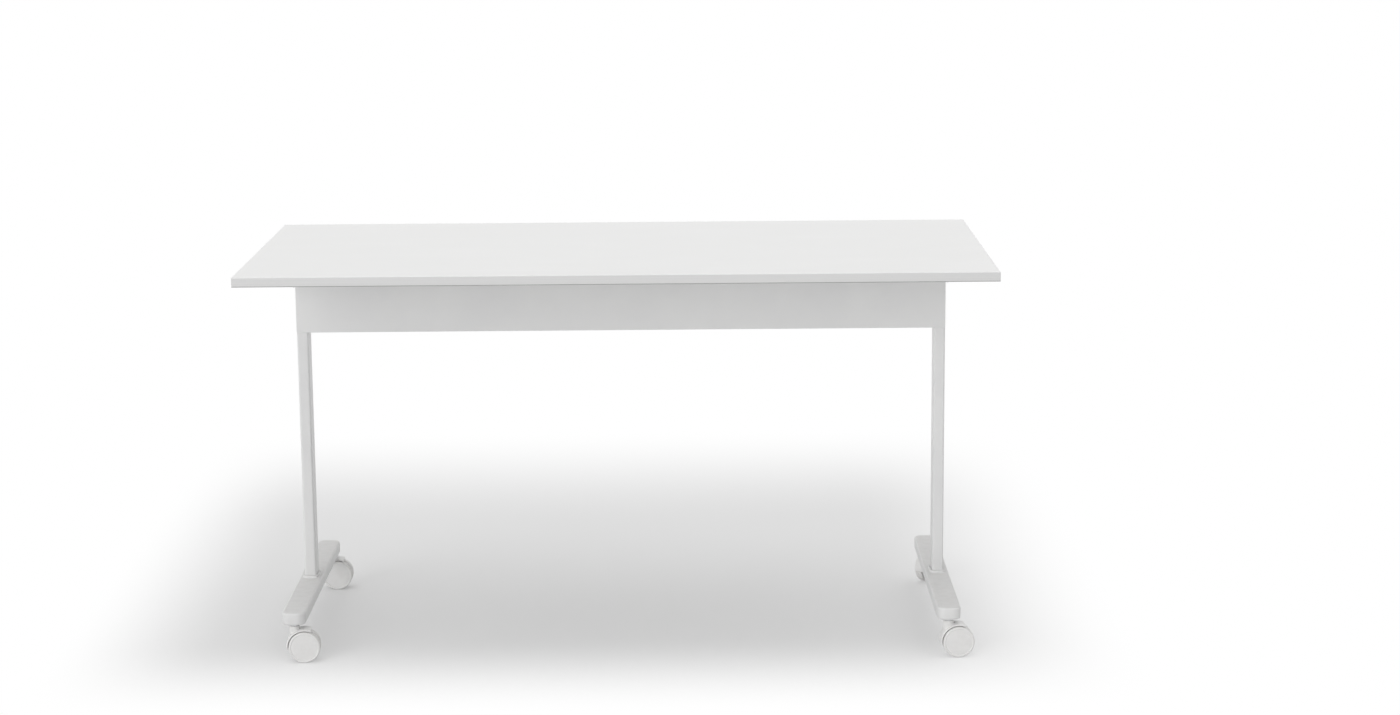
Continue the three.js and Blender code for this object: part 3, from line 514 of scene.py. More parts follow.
# %% [markdown]
# ## Bars with eased edges
# Columns, feet and sheet metal are all rectangles in plan whose corners and edges are rounded. One helper
# draws the outline and one gives the rows of a bar. A row just inside each flat keeps its shading flat,
# which a Bevel modifier with weighted normals would do as well, but less openly.

# %% Rounded outlines and eased bars


def rounded_box(width, depth, corner, steps=7, flat=0.4):
    """Centre of each corner plus its radius times (cos a, sin a) over a quarter turn, with one more point
    along the straight before and after it."""
    a = (np.arange(4)[:, None] * np.pi / 2 + np.linspace(0, np.pi / 2, steps + 1)).reshape(4, -1)
    x = np.array([[1], [-1], [-1], [1]]) * (width / 2 - corner) + corner * np.cos(a)
    y = np.array([[1], [1], [-1], [-1]]) * (depth / 2 - corner) + corner * np.sin(a)
    ring = np.stack([x, y], -1)
    heading = np.stack([-np.sin(a), np.cos(a)], -1)
    before = ring[:, :1] - flat * heading[:, :1]
    after = ring[:, -1:] + flat * heading[:, -1:]
    return np.concatenate([before, ring, after], 1).reshape(-1, 2)


def fillet(radius, steps=5):
    """A quarter round as (inset, rise): radius (1 - sin t) and radius (1 - cos t)."""
    t = np.linspace(0, np.pi / 2, steps + 1)
    return np.stack([radius * (1 - np.sin(t)), radius * (1 - np.cos(t))], -1)


def eased(width, depth, corner, low, high, edge, flat=0.5):
    """Rows (width, depth, corner, height) of a bar that swells by a fillet at its low end and shrinks by
    one at its high end."""
    inset, rise = fillet(edge).T
    inset = np.concatenate([[edge + flat], inset, inset[::-1], [edge + flat]])
    height = np.concatenate([[low], low + rise, high - rise[::-1], [high]])
    return np.stack([width - 2 * inset, depth - 2 * inset, np.maximum(corner - inset, 0.3), height], -1)


def stack(rows, steps=7):
    """One ring for each row (width, depth, corner, height), about the Z axis."""
    plans = [rounded_box(width, depth, corner, steps) for width, depth, corner, _ in rows]
    heights = np.broadcast_to(np.asarray(rows)[:, 3, None, None], (len(rows), len(plans[0]), 1))
    return np.concatenate([np.stack(plans), heights], -1)


print("a fillet of 4 mm:", np.round(fillet(4.0), 2).tolist())

# %% [markdown]
# ## Columns
# Each column is a narrow steel tube with small corner radii, open at the top where the cast head plugs
# in. The rings climb the outside, turn over the rim and go down the inside.

# %% Columns
COLUMN_ROWS = [
    (21.2, 44.2, 3.6, 98.3),
    (22, 45, 4, 98.8),
    (22, 45, 4, 659.6),
    (21.4, 44.4, 3.8, 660),
    (18.6, 41.6, 2.4, 660),
    (18, 41, 2, 659.6),
    (18, 41, 2, 123.3),
]
for name in SIDES:
    axis = centre("column_" + name)
    piece("column_" + name, [skin(stack(COLUMN_ROWS) + [axis[0], axis[1], 0])])
print("columns", COLUMN_ROWS[1][:2], "mm outside and", COLUMN_ROWS[5][:2], "mm inside")

# %% [markdown]
# ## Feet
# A foot is a long casting with soft edges and a low collar round the column. The rings go up the side,
# over the top fillet, across the flat to the collar, up its root fillet and down into its socket. The
# pockets under it lie off the middle, where no stack of rings can hold them, so a Boolean cuts them.

# %% Feet
FOOT_LOW, FOOT_HIGH, COLLAR_HIGH = 74.0, 98.0, 103.0
FOOT_WIDE, FOOT_LONG, FOOT_CORNER, FOOT_EDGE = 45.0, 560.0, 16.0, 4.0
COLLAR, ROOT, COLLAR_LIP = np.array([28.6, 51.6, 7.3]), 2.5, 1.0


def foot_rings():
    """The eased bar, then the collar, which grows out of it by a root fillet and is rounded at its lip,
    and its socket."""
    bar = eased(FOOT_WIDE, FOOT_LONG, FOOT_CORNER, FOOT_LOW, FOOT_HIGH, FOOT_EDGE)
    inset, rise = fillet(ROOT).T
    root = np.column_stack([COLLAR + np.outer(inset, [2, 2, 1]), FOOT_HIGH + rise])
    inset, rise = fillet(COLLAR_LIP).T
    lip = np.column_stack([COLLAR - np.outer(inset[::-1], [2, 2, 1]), COLLAR_HIGH - rise[::-1]])
    socket = np.array([[22.8, 45.8, 4.4, COLLAR_HIGH], [22.6, 45.6, 4.3, FOOT_HIGH]])
    return stack(np.concatenate([bar, root, lip, socket]))


def lathe(profile, facets=48):
    """Each profile point (radius, height) turned about the Z axis."""
    radius, height = np.asarray(profile, float).T
    a = np.linspace(0, 2 * np.pi, facets, endpoint=False)
    rings = np.stack([np.outer(radius, np.cos(a)), np.outer(radius, np.sin(a))], -1)
    return np.concatenate([rings, np.broadcast_to(height[:, None, None], (len(radius), facets, 1))], -1)


def cut(obj, shells):
    """Joins an object's own shells, takes other closed shells away from them, and keeps the finish."""
    cutter = bpy.data.objects.new("cutter", mesh_of("cutter", shells))
    bpy.context.collection.objects.link(cutter)
    boolean = obj.modifiers.new("cut", "BOOLEAN")
    boolean.operation = "DIFFERENCE"
    boolean.solver = "EXACT"
    boolean.use_self = True
    boolean.object = cutter
    graph = bpy.context.evaluated_depsgraph_get()
    solid = obj.data
    obj.data = bpy.data.meshes.new_from_object(obj.evaluated_get(graph))
    obj.modifiers.clear()
    bpy.data.meshes.remove(solid)
    bpy.data.objects.remove(cutter)
    crisp(obj.data)


BELOW = FOOT_LOW - 10
POCKET, POCKET_OUT = eased(35.0, 216.5, 5.0, BELOW, FOOT_HIGH - 5, 3.0), 135.75
BOLT_POCKET = [(8.8, BELOW), (8.8, 81.6)]
for name in SIDES:
    axis = centre("foot_" + name) * [1, 1, 0]
    foot = piece("foot_" + name, [skin(foot_rings() + axis)])
    pockets = [skin(stack(POCKET) + axis + [0, end * POCKET_OUT, 0]) for end in (-1, 1)]
    cut(foot, [*pockets, skin(lathe(BOLT_POCKET) + axis)])
    print(foot.name, len(foot.data.polygons), "faces after its pockets were cut")

# %% [markdown]
# ## The panel
# The panel is one folded sheet: a web over the columns' fronts, a flange along its top and bottom, and
# an ear against each column. Each leaf is an eased bar that lies in its own plane, and they meet inside
# the folds.

# %% Panel
WEB = stack(eased(1260.0, 115.0, 2.0, 22.8, 24.3, 0.7))
FLANGE = stack(eased(1213.4, 18.75, 0.8, 0, 1.5, 0.3))
EAR = stack(eased(38.75, 43.75, 6.0, 605.7, 607.7, 0.3))
WEB_HEIGHT, FLANGE_HEIGHTS, EAR_HEIGHT = 647.5, (590.5, 703.0), 613.125
FLANGE_BACK, EAR_BACK = -14.175, -4.175
web = WEB[..., [0, 2, 1]] * [1, -1, 1] + [0, 0, WEB_HEIGHT]
flanges = [FLANGE + [0, FLANGE_BACK, z] for z in FLANGE_HEIGHTS]
ears = [(EAR[..., [2, 0, 1]] + [0, EAR_BACK, EAR_HEIGHT]) * [side, 1, 1] for side in SIDES.values()]
piece("beam_panel", [skin(rings) for rings in [web, *flanges, *ears]])
print("panel web", np.round(np.ptp(web.reshape(-1, 3), 0), 2).tolist(), "mm")

# %% [markdown]
# ## Plates cut from sheet
# The flip brackets, the cast heads, the pawls and the hanger are outlines with a thickness. An outline
# is a list of corners and arcs in Y and Z; its edge is broken by a small chamfer, which is the outline
# moved inward along the bisector of each corner.

# %% Outlines with a thickness


def inset_outline(outline, distance):
    """Each corner moves inward by distance (m + n) / (1 + m . n), with m and n the inward normals of its
    two edges."""
    ahead = np.roll(outline, -1, 0) - outline
    ahead /= np.linalg.norm(ahead, axis=1, keepdims=True)
    n = np.stack([-ahead[:, 1], ahead[:, 0]], -1)
    m = np.roll(n, 1, 0)
    return outline + distance * (m + n) / (1 + np.sum(m * n, 1, keepdims=True))


def softened(corners, reach, steps=4):
    """Each corner c becomes a parabola from a to b, the points at most reach away along its edges:
    (1 - t)^2 a + 2 t (1 - t) c + t^2 b."""
    corners = np.asarray(corners, float)
    back, ahead = np.roll(corners, 1, 0) - corners, np.roll(corners, -1, 0) - corners
    lengths = [np.linalg.norm(edge, axis=1, keepdims=True) for edge in (back, ahead)]
    near, far = (np.minimum(reach / length, 0.45) for length in lengths)
    a, b = corners + near * back, corners + far * ahead
    t = np.linspace(0, 1, steps + 1)[:, None, None]
    return ((1 - t) ** 2 * a + 2 * t * (1 - t) * corners + t**2 * b).transpose(1, 0, 2).reshape(-1, 2)


def arc(radius, start, end, middle=(0, 0), steps=20):
    """Points on a circle from one angle to another, in degrees."""
    a = np.radians(np.linspace(start, end, steps + 1))
    return np.array(middle) + radius * np.stack([np.cos(a), np.sin(a)], -1)


def plate(outline, low, high, chamfer=0.4, flat=0.3):
    """Rings of an outline in Y and Z from x = low to x = high, with both rims chamfered, and one more ring
    just inside each face."""
    insets = (chamfer + flat, chamfer, 0, 0, chamfer, chamfer + flat)
    x = (low, low, low + chamfer, high - chamfer, high, high)
    plans = [inset_outline(outline, inset) for inset in insets]
    return np.stack([np.column_stack([np.full(len(plan), at), plan]) for plan, at in zip(plans, x)])


square = arc(50**0.5, 45, 315, (5, 5), 3)
print("a square of 10 mm, moved in by 1 mm:", np.round(inset_outline(square, 1.0), 2).tolist())

# %% [markdown]
# **Flip brackets.** A plate screwed under the board carries a cheek with a round rim. The rim has two
# notches a quarter turn apart, where the pawl locks the top level or upright.

# %% Flip brackets
PIVOT = np.array([-10.0, 690.0])
CHEEK_X, BRACKET_X, BRACKET_HEIGHTS = (631.6, 635.6), 660.6, (727.7, 731.7)
CHEEK = np.concatenate(
    [
        [[-48, 38.7], [-26, 0], [-8, -12]],
        arc(22, -33.06, -11, steps=6),
        [[15.4, -4.2], [15.4, 4.2]],
        arc(22, 11, 79, steps=16),
        [[4.2, 15.4], [-4.2, 15.4], [-4.2, 22], [-10.2, 38.7]],
    ]
)
for name, side in SIDES.items():
    cheek = plate(CHEEK + PIVOT, *CHEEK_X, 0.5)
    base = stack(eased(58.0, 140.0, 6.0, *BRACKET_HEIGHTS, 0.6)) + [BRACKET_X, 0, 0]
    piece("flip_bracket_" + name, [skin(rings * [side, 1, 1]) for rings in (cheek, base)])
print("cheek outline of", len(CHEEK), "points")

# %% [markdown]
# **Column heads.** The cast head plugs into the tube, holds the pivot pin and the release bar, and
# reaches back with an arm for the rubber buffer. Castings have generous corners, so its outline is
# softened more than the sheet parts.

# %% Column heads
HEAD_X, PLUG_X, PLUG_HEIGHTS = (608.0, 630.0), 619.0, (640.0, 662.0)
HEAD_OUTLINE = softened(
    [
        (-22.5, 660.3),
        (22.5, 660.3),
        (24, 692.4),
        (60.5, 706.4),
        (60.5, 720.4),
        (24, 720.4),
        (19, 722),
        (9, 722),
        (-10, 710),
        (-22.5, 702),
    ],
    3.5,
)
for name, side in SIDES.items():
    head = plate(HEAD_OUTLINE, *HEAD_X, 1.2)
    plug = stack(eased(17.4, 40.4, 2.0, *PLUG_HEIGHTS, 0.8)) + [PLUG_X, 0, 0]
    piece("pivot_head_" + name, [skin(rings * [side, 1, 1]) for rings in (head, plug)])
print("head outline of", len(HEAD_OUTLINE), "points")

# %% [markdown]
# **Pawls and hanger.** Both have a round hub on the release bar. The hub's arc is part of the outline.

# %% Pawls and hanger
BAR = np.array([14.0, 712.0])
PAWL_X, HANGER_X = (630.3, 635.3), (46.0, 49.0)
TOOTH = [[-27, 0.8], [-21, 0.8], [-21, 5.6]]
PAWL = np.concatenate([TOOTH, arc(9, 170.5, 450, steps=30), [[-27, 11]]]) + BAR
for name, side in SIDES.items():
    piece("pawl_" + name, [skin(plate(PAWL, *PAWL_X) * [side, 1, 1])])
HANGER = np.concatenate(
    [
        [[-22.5, 668.7]],
        arc(10.4, -45, 196.6, BAR, 28),
        [[-4.5, 706.5], [-4.5, 702.7], [-22.5, 702.7]],
    ]
)
piece("bar_hanger", [skin(plate(HANGER, *HANGER_X))])
print("pawl and hanger outlines of", len(PAWL), "and", len(HANGER), "points")

# %% [markdown]
# ## Turned pieces
# Pins, bushes, buffers, bolts and screws are profiles turned about an axis. A lathe about Z makes them,
# and one helper lays that axis where the CAD has it. The screw heads are domed, with a hexagon recess: a
# ring whose radius is the flat's distance over the cosine of the angle to the nearest flat.

# %% Turning helpers


def laid(rings, origin, axis):
    """Turns the lathe's Z axis to the given axis and moves its foot to the origin."""
    z = np.array(axis, float)
    x = np.array([0, 1.0, 0]) if abs(z[1]) < 0.9 else np.array([1.0, 0, 0])
    y = np.cross(z, x)
    return np.array(origin) + rings @ np.stack([x, y, z])


def dome(radius, height, rise, steps=8):
    """A rounded rim: a quarter ellipse from (radius, height) up to height + rise, over the outer 40 percent
    of the radius."""
    t = np.linspace(0, np.pi / 2, steps + 1)
    return np.stack([radius * (0.6 + 0.4 * np.cos(t)), height + rise * np.sin(t)], -1)


def screw(head, height, shank, length, across, facets=48):
    """Profile rings of a shank below zero and a domed head above it, then the hexagon recess in the head,
    at across / cos(b) with b the angle to the nearest flat."""
    body = [(0.6 * shank, -length), (shank, 1.0 - length), (shank, 0), (head - 0.3, 0), (head, 0.3)]
    top = dome(head, 0.35 * height, 0.65 * height)
    rings = lathe([*body, *top, (1.25 * across, height), (1.18 * across, height)], facets)
    a = np.linspace(0, 2 * np.pi, facets, endpoint=False)
    hexagon = across / np.cos((a + np.pi / 6) % (np.pi / 3) - np.pi / 6)
    wall = np.stack([hexagon * np.cos(a), hexagon * np.sin(a)], -1)
    depths = (height - 0.1, 0.35 * height)
    recess = np.stack([np.column_stack([wall, np.full(facets, z)]) for z in depths])
    return np.concatenate([rings, recess])


print("a dome:", np.round(dome(6, 1, 3, 3), 2).tolist())

# %% Screws and bolts
BRACKET_SCREW = screw(6.0, 4.0, 3.0, 16.6, 2.0)
PANEL_SCREW = screw(5.5, 3.5, 3.0, 9.6, 2.0)
FOOT_BOLT = screw(8.5, 7.0, 5.0, 36.7, 4.0)
BRACKET_SEAT, PANEL_SEAT, BOLT_SEAT = 727.4, 605.4, 81.3
DOWN = (0, 0, -1)
for name, side in SIDES.items():
    for i in range(1, 5):
        node = f"bracket_screw_{name}_{i}"
        spot = centre(node) * [1, 1, 0] + [0, 0, BRACKET_SEAT]
        piece(node, [skin(laid(BRACKET_SCREW, spot, DOWN))])
    for i in range(1, 3):
        node = f"panel_screw_{name}_{i}"
        spot = centre(node) * [0, 1, 1] + [side * PANEL_SEAT, 0, 0]
        piece(node, [skin(laid(PANEL_SCREW, spot, (-side, 0, 0)))])
    node = "foot_bolt_" + name
    spot = centre(node) * [1, 1, 0] + [0, 0, BOLT_SEAT]
    piece(node, [skin(laid(FOOT_BOLT, spot, DOWN))])
print("screws and bolts of", BRACKET_SCREW.shape[:2], "points, with hexagon recesses")

# %% [markdown]
# The pivot pin has a domed head outside the cheek and is peened over on the inside; the bush is a sleeve
# with a flange, a closed profile that never meets its axis; the buffer is a soft pad on a peg.

# %% Pins, bushes and buffers
ALONG_X = (1, 0, 0)
PIN = [(5.4, 604.7), *dome(9, 0, 1.6)[::-1] * [1, -1] + [0, 606.3], (9, 607.7), (6, 607.7), (6, 635.9)]
PIN = [*PIN, (9.7, 635.9), (10, 636.2), *dome(10, 637.6, 3.3)]
BUSH = [(6.4, 630.6), (6.7, 630.3), (10.2, 630.3), (10.5, 630.6), (10.5, 631.0), (10.2, 631.3), (8.2, 631.3)]
BUSH = [*BUSH, (8.2, 635.3), (7.9, 635.6), (6.7, 635.6), (6.4, 635.3)]
BUFFER = [(2.4, 712.4), (3, 713.2), (3, 720.7), (7.6, 720.7), (8.5, 721.6), (8.1, 723), (8.5, 724.6)]
BUFFER = [*BUFFER, (8.5, 729.2), *(fillet(2.2)[::-1] * [-1, -1] + [8.5, 731.7]), (5.6, 731.7)]
for name, side in SIDES.items():
    pin = laid(lathe(PIN), (0, *PIVOT), ALONG_X) * [side, 1, 1]
    piece("pivot_pin_" + name, [skin(pin)])
    bush = laid(lathe(BUSH), (0, *PIVOT), ALONG_X) * [side, 1, 1]
    piece("pivot_bush_" + name, [skin(bush, closed=True)])
    spot = centre("stop_buffer_" + name) * [1, 1, 0]
    piece("stop_buffer_" + name, [skin(lathe(BUFFER) + spot)])
print("pin of", len(PIN), "profile points, bush of", len(BUSH))

# %% [markdown]
# ## The release
# One bar runs across the table behind the panel. Its ends are chamfered, a moulded handle is pinned to
# its middle and a torsion spring sits beside the handle. The handle's outline is a hub, a blade and a
# grip in one closed curve; shallow ribs across the grip are a cosine along X that fades at the ends.

# %% Bar, handle and spring
BAR_PROFILE = [(4.2, -638), (5, -637.2), (5, 637.2), (4.2, 638)]
piece("release_bar", [skin(laid(lathe(BAR_PROFILE), (0, *BAR), ALONG_X))])

HANDLE = np.concatenate([arc(9, -73.9, 253.9, steps=40), arc(5, 120, 420, (0, -56), 30)])
LIFT = np.radians(14)
HANDLE_HALF, HANDLE_END, GRIP_TOP, RIB_HIGH, RIB_PITCH = 35.0, 1.5, -47.0, 0.4, 4.0


def handle_rings():
    """The outline at each x, moved in by the rounding of the ends and, on the grip, out by
    rib height (0.5 + 0.5 cos(2 pi x / rib pitch)); then lifted about the bar."""
    inset, rise = fillet(HANDLE_END).T
    middle = np.linspace(2 - HANDLE_HALF, HANDLE_HALF - 2, 133)
    x = np.concatenate([rise - HANDLE_HALF, middle, (HANDLE_HALF - rise)[::-1]])
    rounding = np.concatenate([inset, np.zeros_like(middle), inset[::-1]])
    outward = HANDLE - inset_outline(HANDLE, 1.0)
    grip = np.clip((GRIP_TOP - HANDLE[:, 1]) / 4, 0, 1)
    fade = np.clip((HANDLE_HALF - 4 - np.abs(x)) / 2, 0, 1)
    ribs = RIB_HIGH * (0.5 + 0.5 * np.cos(2 * np.pi * x / RIB_PITCH)) * fade
    plan = HANDLE + outward * (np.outer(ribs, grip) - rounding[:, None])[..., None]
    y = plan[..., 0] * np.cos(LIFT) + plan[..., 1] * np.sin(LIFT)
    z = plan[..., 1] * np.cos(LIFT) - plan[..., 0] * np.sin(LIFT)
    return np.stack([np.broadcast_to(x[:, None], y.shape), y + BAR[0], z + BAR[1]], -1)


piece("release_handle", [skin(handle_rings())])


def coil(start, pitch, turns, radius, wire, per_turn=28, around=12):
    """A helix round the bar, x = start + pitch t, with a circle of the wire's radius across its heading."""
    t = np.linspace(0, turns, turns * per_turn + 1)
    a = 2 * np.pi * t
    out = np.stack([np.zeros_like(a), np.cos(a), np.sin(a)], -1)
    heading = np.stack([np.full_like(a, pitch / 2 / np.pi / radius), -np.sin(a), np.cos(a)], -1)
    heading /= np.linalg.norm(heading, axis=1, keepdims=True)
    spine = np.stack([start + pitch * t, np.full_like(a, BAR[0]), np.full_like(a, BAR[1])], -1)
    middle = radius * out + spine
    b = np.linspace(0, 2 * np.pi, around, endpoint=False)[:, None]
    across = np.cross(heading, out)
    return middle[:, None] + wire * (np.cos(b) * out[:, None] + np.sin(b) * across[:, None])


piece("return_spring", [skin(coil(36.0, 1.8, 5, 6.0, 0.7))])
print("handle of", handle_rings().shape[:2], "points")

# %% [markdown]
# ## Castors
# A castor is drawn once, with its stem on the origin and its wheels trailing along X, and then laid on
# its joint: the swivel joint gives the stem's place and the wheel joint's axis gives the heading.

# %% Castor place
TRAIL, WHEEL = 18.0, 30.0
CORNERS = ("front_left", "front_right", "rear_left", "rear_right")


def on_castor(rings, corner):
    """Castor to table: x along the trail, y along the axle, z up, from the foot of the stem."""
    stem = np.array(joints["swivel_" + corner]["pos_m"]) / MM * [1, 1, 0]
    axle = np.array(joints[f"roll_{corner}_front"]["axis"])
    trail = np.array([axle[1], -axle[0], 0])
    return stem + rings @ np.stack([trail, axle, [0, 0, 1.0]])


print("castor stems at", [np.round(on_castor(np.zeros(3), corner)).tolist() for corner in CORNERS])

# %% [markdown]
# **Stems.** Turned steel: a pivot in the hood, a collar under the foot and a shank in its bore.
#
# **Wheels.** A moulded disc with a soft-cornered tread, a raised rim ring and a slightly domed face. The
# profile is turned with many facets, and the attribute tread rises from 0 to 1 over the last 3 mm.

# %% Stems and wheels
STEM = [(3.9, 60.7), (4.5, 61.3), (4.5, 70.7), (9.0, 70.7), (9.5, 71.2), (9.5, 73.2), (9.0, 73.7)]
STEM = [*STEM, (5.5, 73.7), (5.5, 92.2), (4.8, 93)]
WHEEL_WIDE, SHOULDER, TREAD_CROWN, WORN, WHEEL_FACETS = 15.0, 2.6, 0.15, 3.0, 80
HALF_GAP = 2.9


def wheel_profile():
    """Bore, inner face, round shoulder, tread that falls from its middle by the crown times the square of
    the way to its side, round shoulder, rim ring, groove and domed disc."""
    shoulder = fillet(SHOULDER, 7)
    over = np.linspace(SHOULDER, WHEEL_WIDE - SHOULDER, 7)
    fall = TREAD_CROWN * ((over - WHEEL_WIDE / 2) / (WHEEL_WIDE / 2 - SHOULDER)) ** 2
    tread = np.stack([WHEEL - fall, over], -1)
    side = WHEEL - TREAD_CROWN - shoulder[:, 0]
    inner = np.stack([side, shoulder[:, 1]], -1)
    outer = np.stack([side, WHEEL_WIDE - shoulder[:, 1]], -1)[::-1]
    rim = [(26.6, 15.0), (25.9, 14.85), (25.5, 14.35), (25.1, 13.95), (24.6, 13.95), (24.2, 14.15)]
    r = np.array([23.6, 20, 16, 12, 8, 4, 1.2])
    disc = np.stack([r, 14.2 + 0.45 * (1 - (r / r[0]) ** 2)], -1)
    bore = [(3.4, 11.0), (3.4, 0.4), (3.8, 0)]
    return np.concatenate([bore, inner, tread[1:-1], outer, rim, disc])


profile = wheel_profile()
wheel = laid(lathe(profile, WHEEL_FACETS), (TRAIL, HALF_GAP, WHEEL), (0, 1, 0))
worn = np.repeat(np.clip((profile[:, 0] - WHEEL + WORN) / WORN, 0, 1) ** 2, WHEEL_FACETS)
for corner in CORNERS:
    piece(f"castor_{corner}_stem", [skin(on_castor(lathe(STEM), corner))])
    for name, side in (("front", -1), ("rear", 1)):
        made = piece(f"castor_{corner}_wheel_{name}", [skin(on_castor(wheel * [1, side, 1], corner))])
        tread = made.data.attributes.new("tread", "FLOAT", "POINT")
        tread.data.foreach_set("value", worn.astype(np.float32))
print("wheel profile of", len(profile), "points,", WHEEL_FACETS, "facets")

# %% [markdown]
# **Hoods.** The hood is a curved roof over both wheels, a web between them that carries the axle, and a
# neck for the stem. The roof is a rounded strip swept round the axle. The neck's lower rim follows the
# roof: its height is the axle's height plus the root of the roof's radius squared less the squared
# distance along the trail from the axle, so it grows out of the roof without a seam of its own.

# %% Hoods
ROOF, ROOF_THICK, ROOF_FROM, ROOF_TO, ROOF_END = WHEEL + 3.5, 3.0, 66, 186, 1.3
HOOD_WIDE, HOOD_CROWN, WEB_HALF, BOSS = 30.8, 0.9, 2.5, 6.0
NECK, NECK_HIGH, NECK_LIP, FLARE = 10.0, 70.4, 1.2, 3.5
AXLE = (TRAIL, WHEEL)


def crown_fall(y):
    """How far the roof falls at y from its middle: the crown times the square of the way to its side."""
    return HOOD_CROWN * (y / (HOOD_WIDE / 2)) ** 2


def roof_rings():
    """A crowned strip with rounded edges, swept round the axle, with rounded ends."""
    inset, along = fillet(ROOF_END).T
    turn = np.degrees(along / ROOF)
    middle = np.linspace(ROOF_FROM + 4, ROOF_TO - 4, 43)
    angles = np.concatenate([ROOF_FROM + turn, middle, (ROOF_TO - turn)[::-1]])
    insets = np.concatenate([inset, np.zeros_like(middle), inset[::-1]])
    sizes = [(ROOF_THICK - 2 * d, HOOD_WIDE - 2 * d, max(1.4 - d, 0.08)) for d in insets]
    strips = np.stack([rounded_box(*size, 5, 0.02) for size in sizes])
    reach = ROOF + strips[..., 0] - crown_fall(strips[..., 1])
    a = np.radians(angles)[:, None]
    return np.stack([TRAIL + reach * np.cos(a), strips[..., 1], WHEEL + reach * np.sin(a)], -1)


def web_rings():
    """The web's outline, the roof's own arc closed round the boss of the axle, with a thickness."""
    under_roof = arc(ROOF - 0.5, ROOF_FROM, ROOF_TO, AXLE, 40)
    outline = np.concatenate([under_roof, arc(BOSS, 226, 380, AXLE, 24)])
    return plate(outline, -WEB_HALF, WEB_HALF, 0.3)[..., [1, 0, 2]]


def neck_rings(facets=48):
    """A round neck with a root that flares towards the wheels; each ring stands at a share of the way from
    the saddle on the roof to the lip of the flat top."""
    a = np.linspace(0, 2 * np.pi, facets, endpoint=False)
    share = np.array([0, 0.05, 0.1, 0.17, 0.26, 0.4, 0.7, 0.9])[:, None]
    reach = NECK + FLARE * np.clip(1 - share / 0.4, 0, 1) ** 2 * (0.5 + 0.5 * np.cos(a))
    x, y = reach * np.cos(a), reach * np.sin(a)
    saddle = WHEEL + np.sqrt(np.maximum((ROOF - 0.3) ** 2 - (x - TRAIL) ** 2, 0)) - crown_fall(y)
    z = saddle + share * (NECK_HIGH - NECK_LIP - saddle)
    side = np.stack([x, y, z], -1)
    inset, rise = fillet(NECK_LIP).T
    lip = lathe(np.column_stack([NECK - inset[::-1], NECK_HIGH - rise[::-1]]), facets)
    return np.concatenate([side, lip, lathe([(8.2, NECK_HIGH)], facets)])


hood = [roof_rings(), web_rings(), neck_rings()]
for corner in CORNERS:
    piece(f"castor_{corner}_hood", [skin(on_castor(rings, corner)) for rings in hood])
    nodes[f"castor_{corner}_axle"].material_slots[0].material = zinc_steel
print("hood rings", [rings.shape[:2] for rings in hood])

# %% [markdown]
# ## Bores
# Taken apart on a bench, a bracket shows the hole that its pin went through, so every piece that something
# passes through gets a bore with the same clearance as in the frame. Holes could be rings in the outlines,
# but a Boolean cut is one line for each, and it also joins a piece's overlapping shells into one skin.

# %% Boring tools
SCREW_BORE, PEG_BORE, AXLE_BORE, BOLT_BORE = 3.3, 3.3, 3.3, 5.3
BUSH_BORE, PIN_BORE, BAR_FREE, BAR_SNUG = 8.5, 6.3, 5.4, 5.3
STEM_BORE, NECK_BORE, STEM_OUT = 5.8, 4.9, 262.0


def bore(radius, start, end):
    """A closed cylinder of 40 facets from one point to another, along an axis, to be taken away."""
    start, end = np.array(start, float), np.array(end, float)
    length = np.linalg.norm(end - start)
    return laid(lathe([(radius, 0), (radius, length)], 40), start, (end - start) / length)


def across(radius, spot, low, high, side=1):
    """A bore along X at the spot (y, z), from low to high outward on one side of the table."""
    return skin(bore(radius, (side * low, *spot), (side * high, *spot)))


def upright(radius, spot, low, high):
    """A bore along Z at the spot's x and y."""
    return skin(bore(radius, (spot[0], spot[1], low), (spot[0], spot[1], high)))


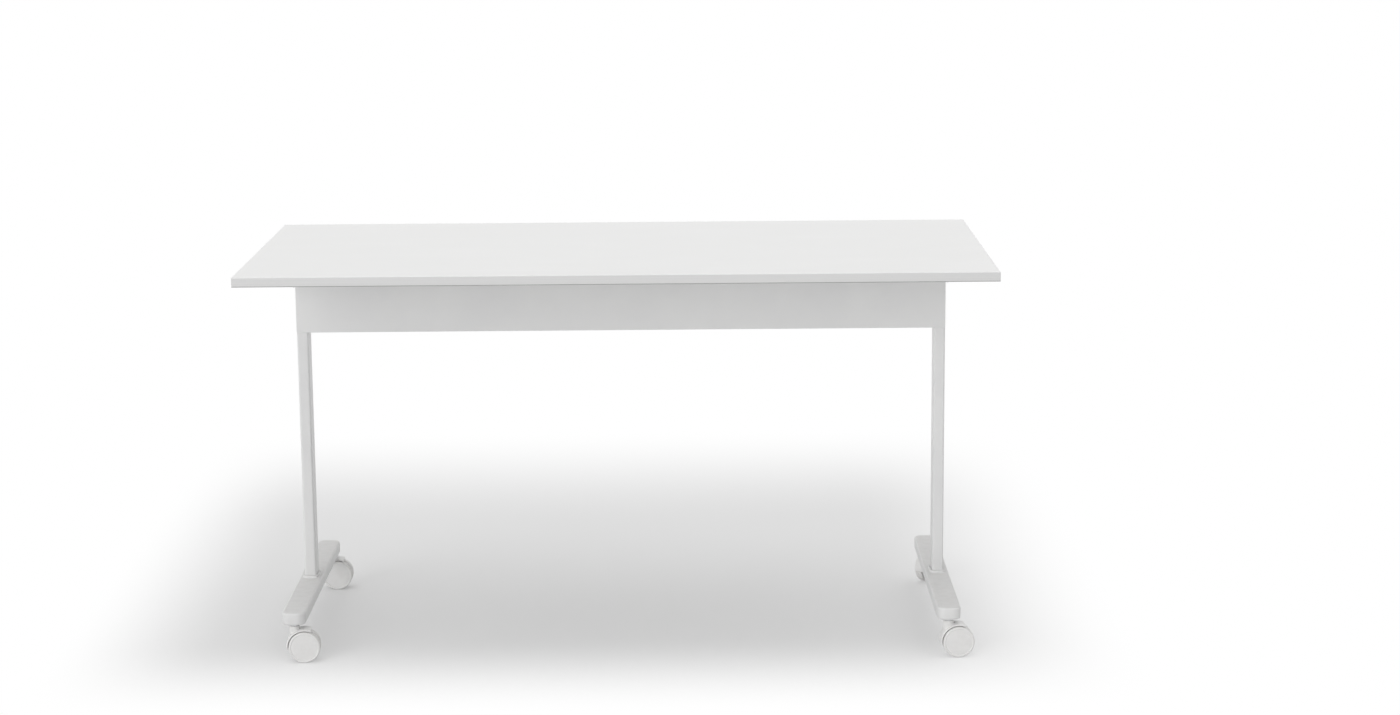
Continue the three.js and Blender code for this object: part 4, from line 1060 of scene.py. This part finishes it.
forms = {name: bpy.data.objects[name + "_form"] for name in nodes if name + "_form" in bpy.data.objects}
print(len(forms), "pieces that rings made")

# %% Bores in the mechanism
for name, side in SIDES.items():
    screws = [centre(f"bracket_screw_{name}_{i}") for i in range(1, 5)]
    screw_holes = [upright(SCREW_BORE, spot, 726, 733) for spot in screws]
    cut(forms["flip_bracket_" + name], [across(BUSH_BORE, PIVOT, 630, 637, side), *screw_holes])
    pin_hole, bar_hole = across(PIN_BORE, PIVOT, 600, 632, side), across(BAR_FREE, BAR, 600, 632, side)
    buffer_hole = upright(PEG_BORE, centre("stop_buffer_" + name), 712.1, 725)
    cut(forms["pivot_head_" + name], [pin_hole, bar_hole, buffer_hole])
    cut(forms["pawl_" + name], [across(BAR_SNUG, BAR, 629, 637, side)])
cut(forms["bar_hanger"], [across(BAR_FREE, BAR, 44, 51)])
cut(forms["release_handle"], [across(BAR_SNUG, BAR, -37, 37)])
print("faces of a bored bracket:", len(forms["flip_bracket_left"].data.polygons))

# %% Bores in the base
panel_holes = []
for name, side in SIDES.items():
    screws = [centre(f"panel_screw_{name}_{i}")[1:] for i in range(1, 3)]
    panel_holes += [across(SCREW_BORE, spot, 604, 610, side) for spot in screws]
    column_holes = [across(SCREW_BORE, spot, 600, 615.3, side) for spot in screws]
    axis = centre("foot_" + name)
    stems = [upright(STEM_BORE, axis + [0, end * STEM_OUT, 0], 70, 93.3) for end in (-1, 1)]
    cut(forms["column_" + name], [*column_holes, upright(BOLT_BORE, axis, 90, 118.3)])
    cut(forms["foot_" + name], [*stems, upright(BOLT_BORE, axis, 80, 100)])
cut(forms["beam_panel"], panel_holes)
stem_hole = bore(NECK_BORE, (0, 0, 60.4), (0, 0, 72))
axle_hole = bore(AXLE_BORE, (TRAIL, -4, WHEEL), (TRAIL, 4, WHEEL))
for corner in CORNERS:
    cut(forms[f"castor_{corner}_hood"], [skin(on_castor(rings, corner)) for rings in (stem_hole, axle_hole)])
print("faces of a bored foot:", len(forms["foot_left"].data.polygons))
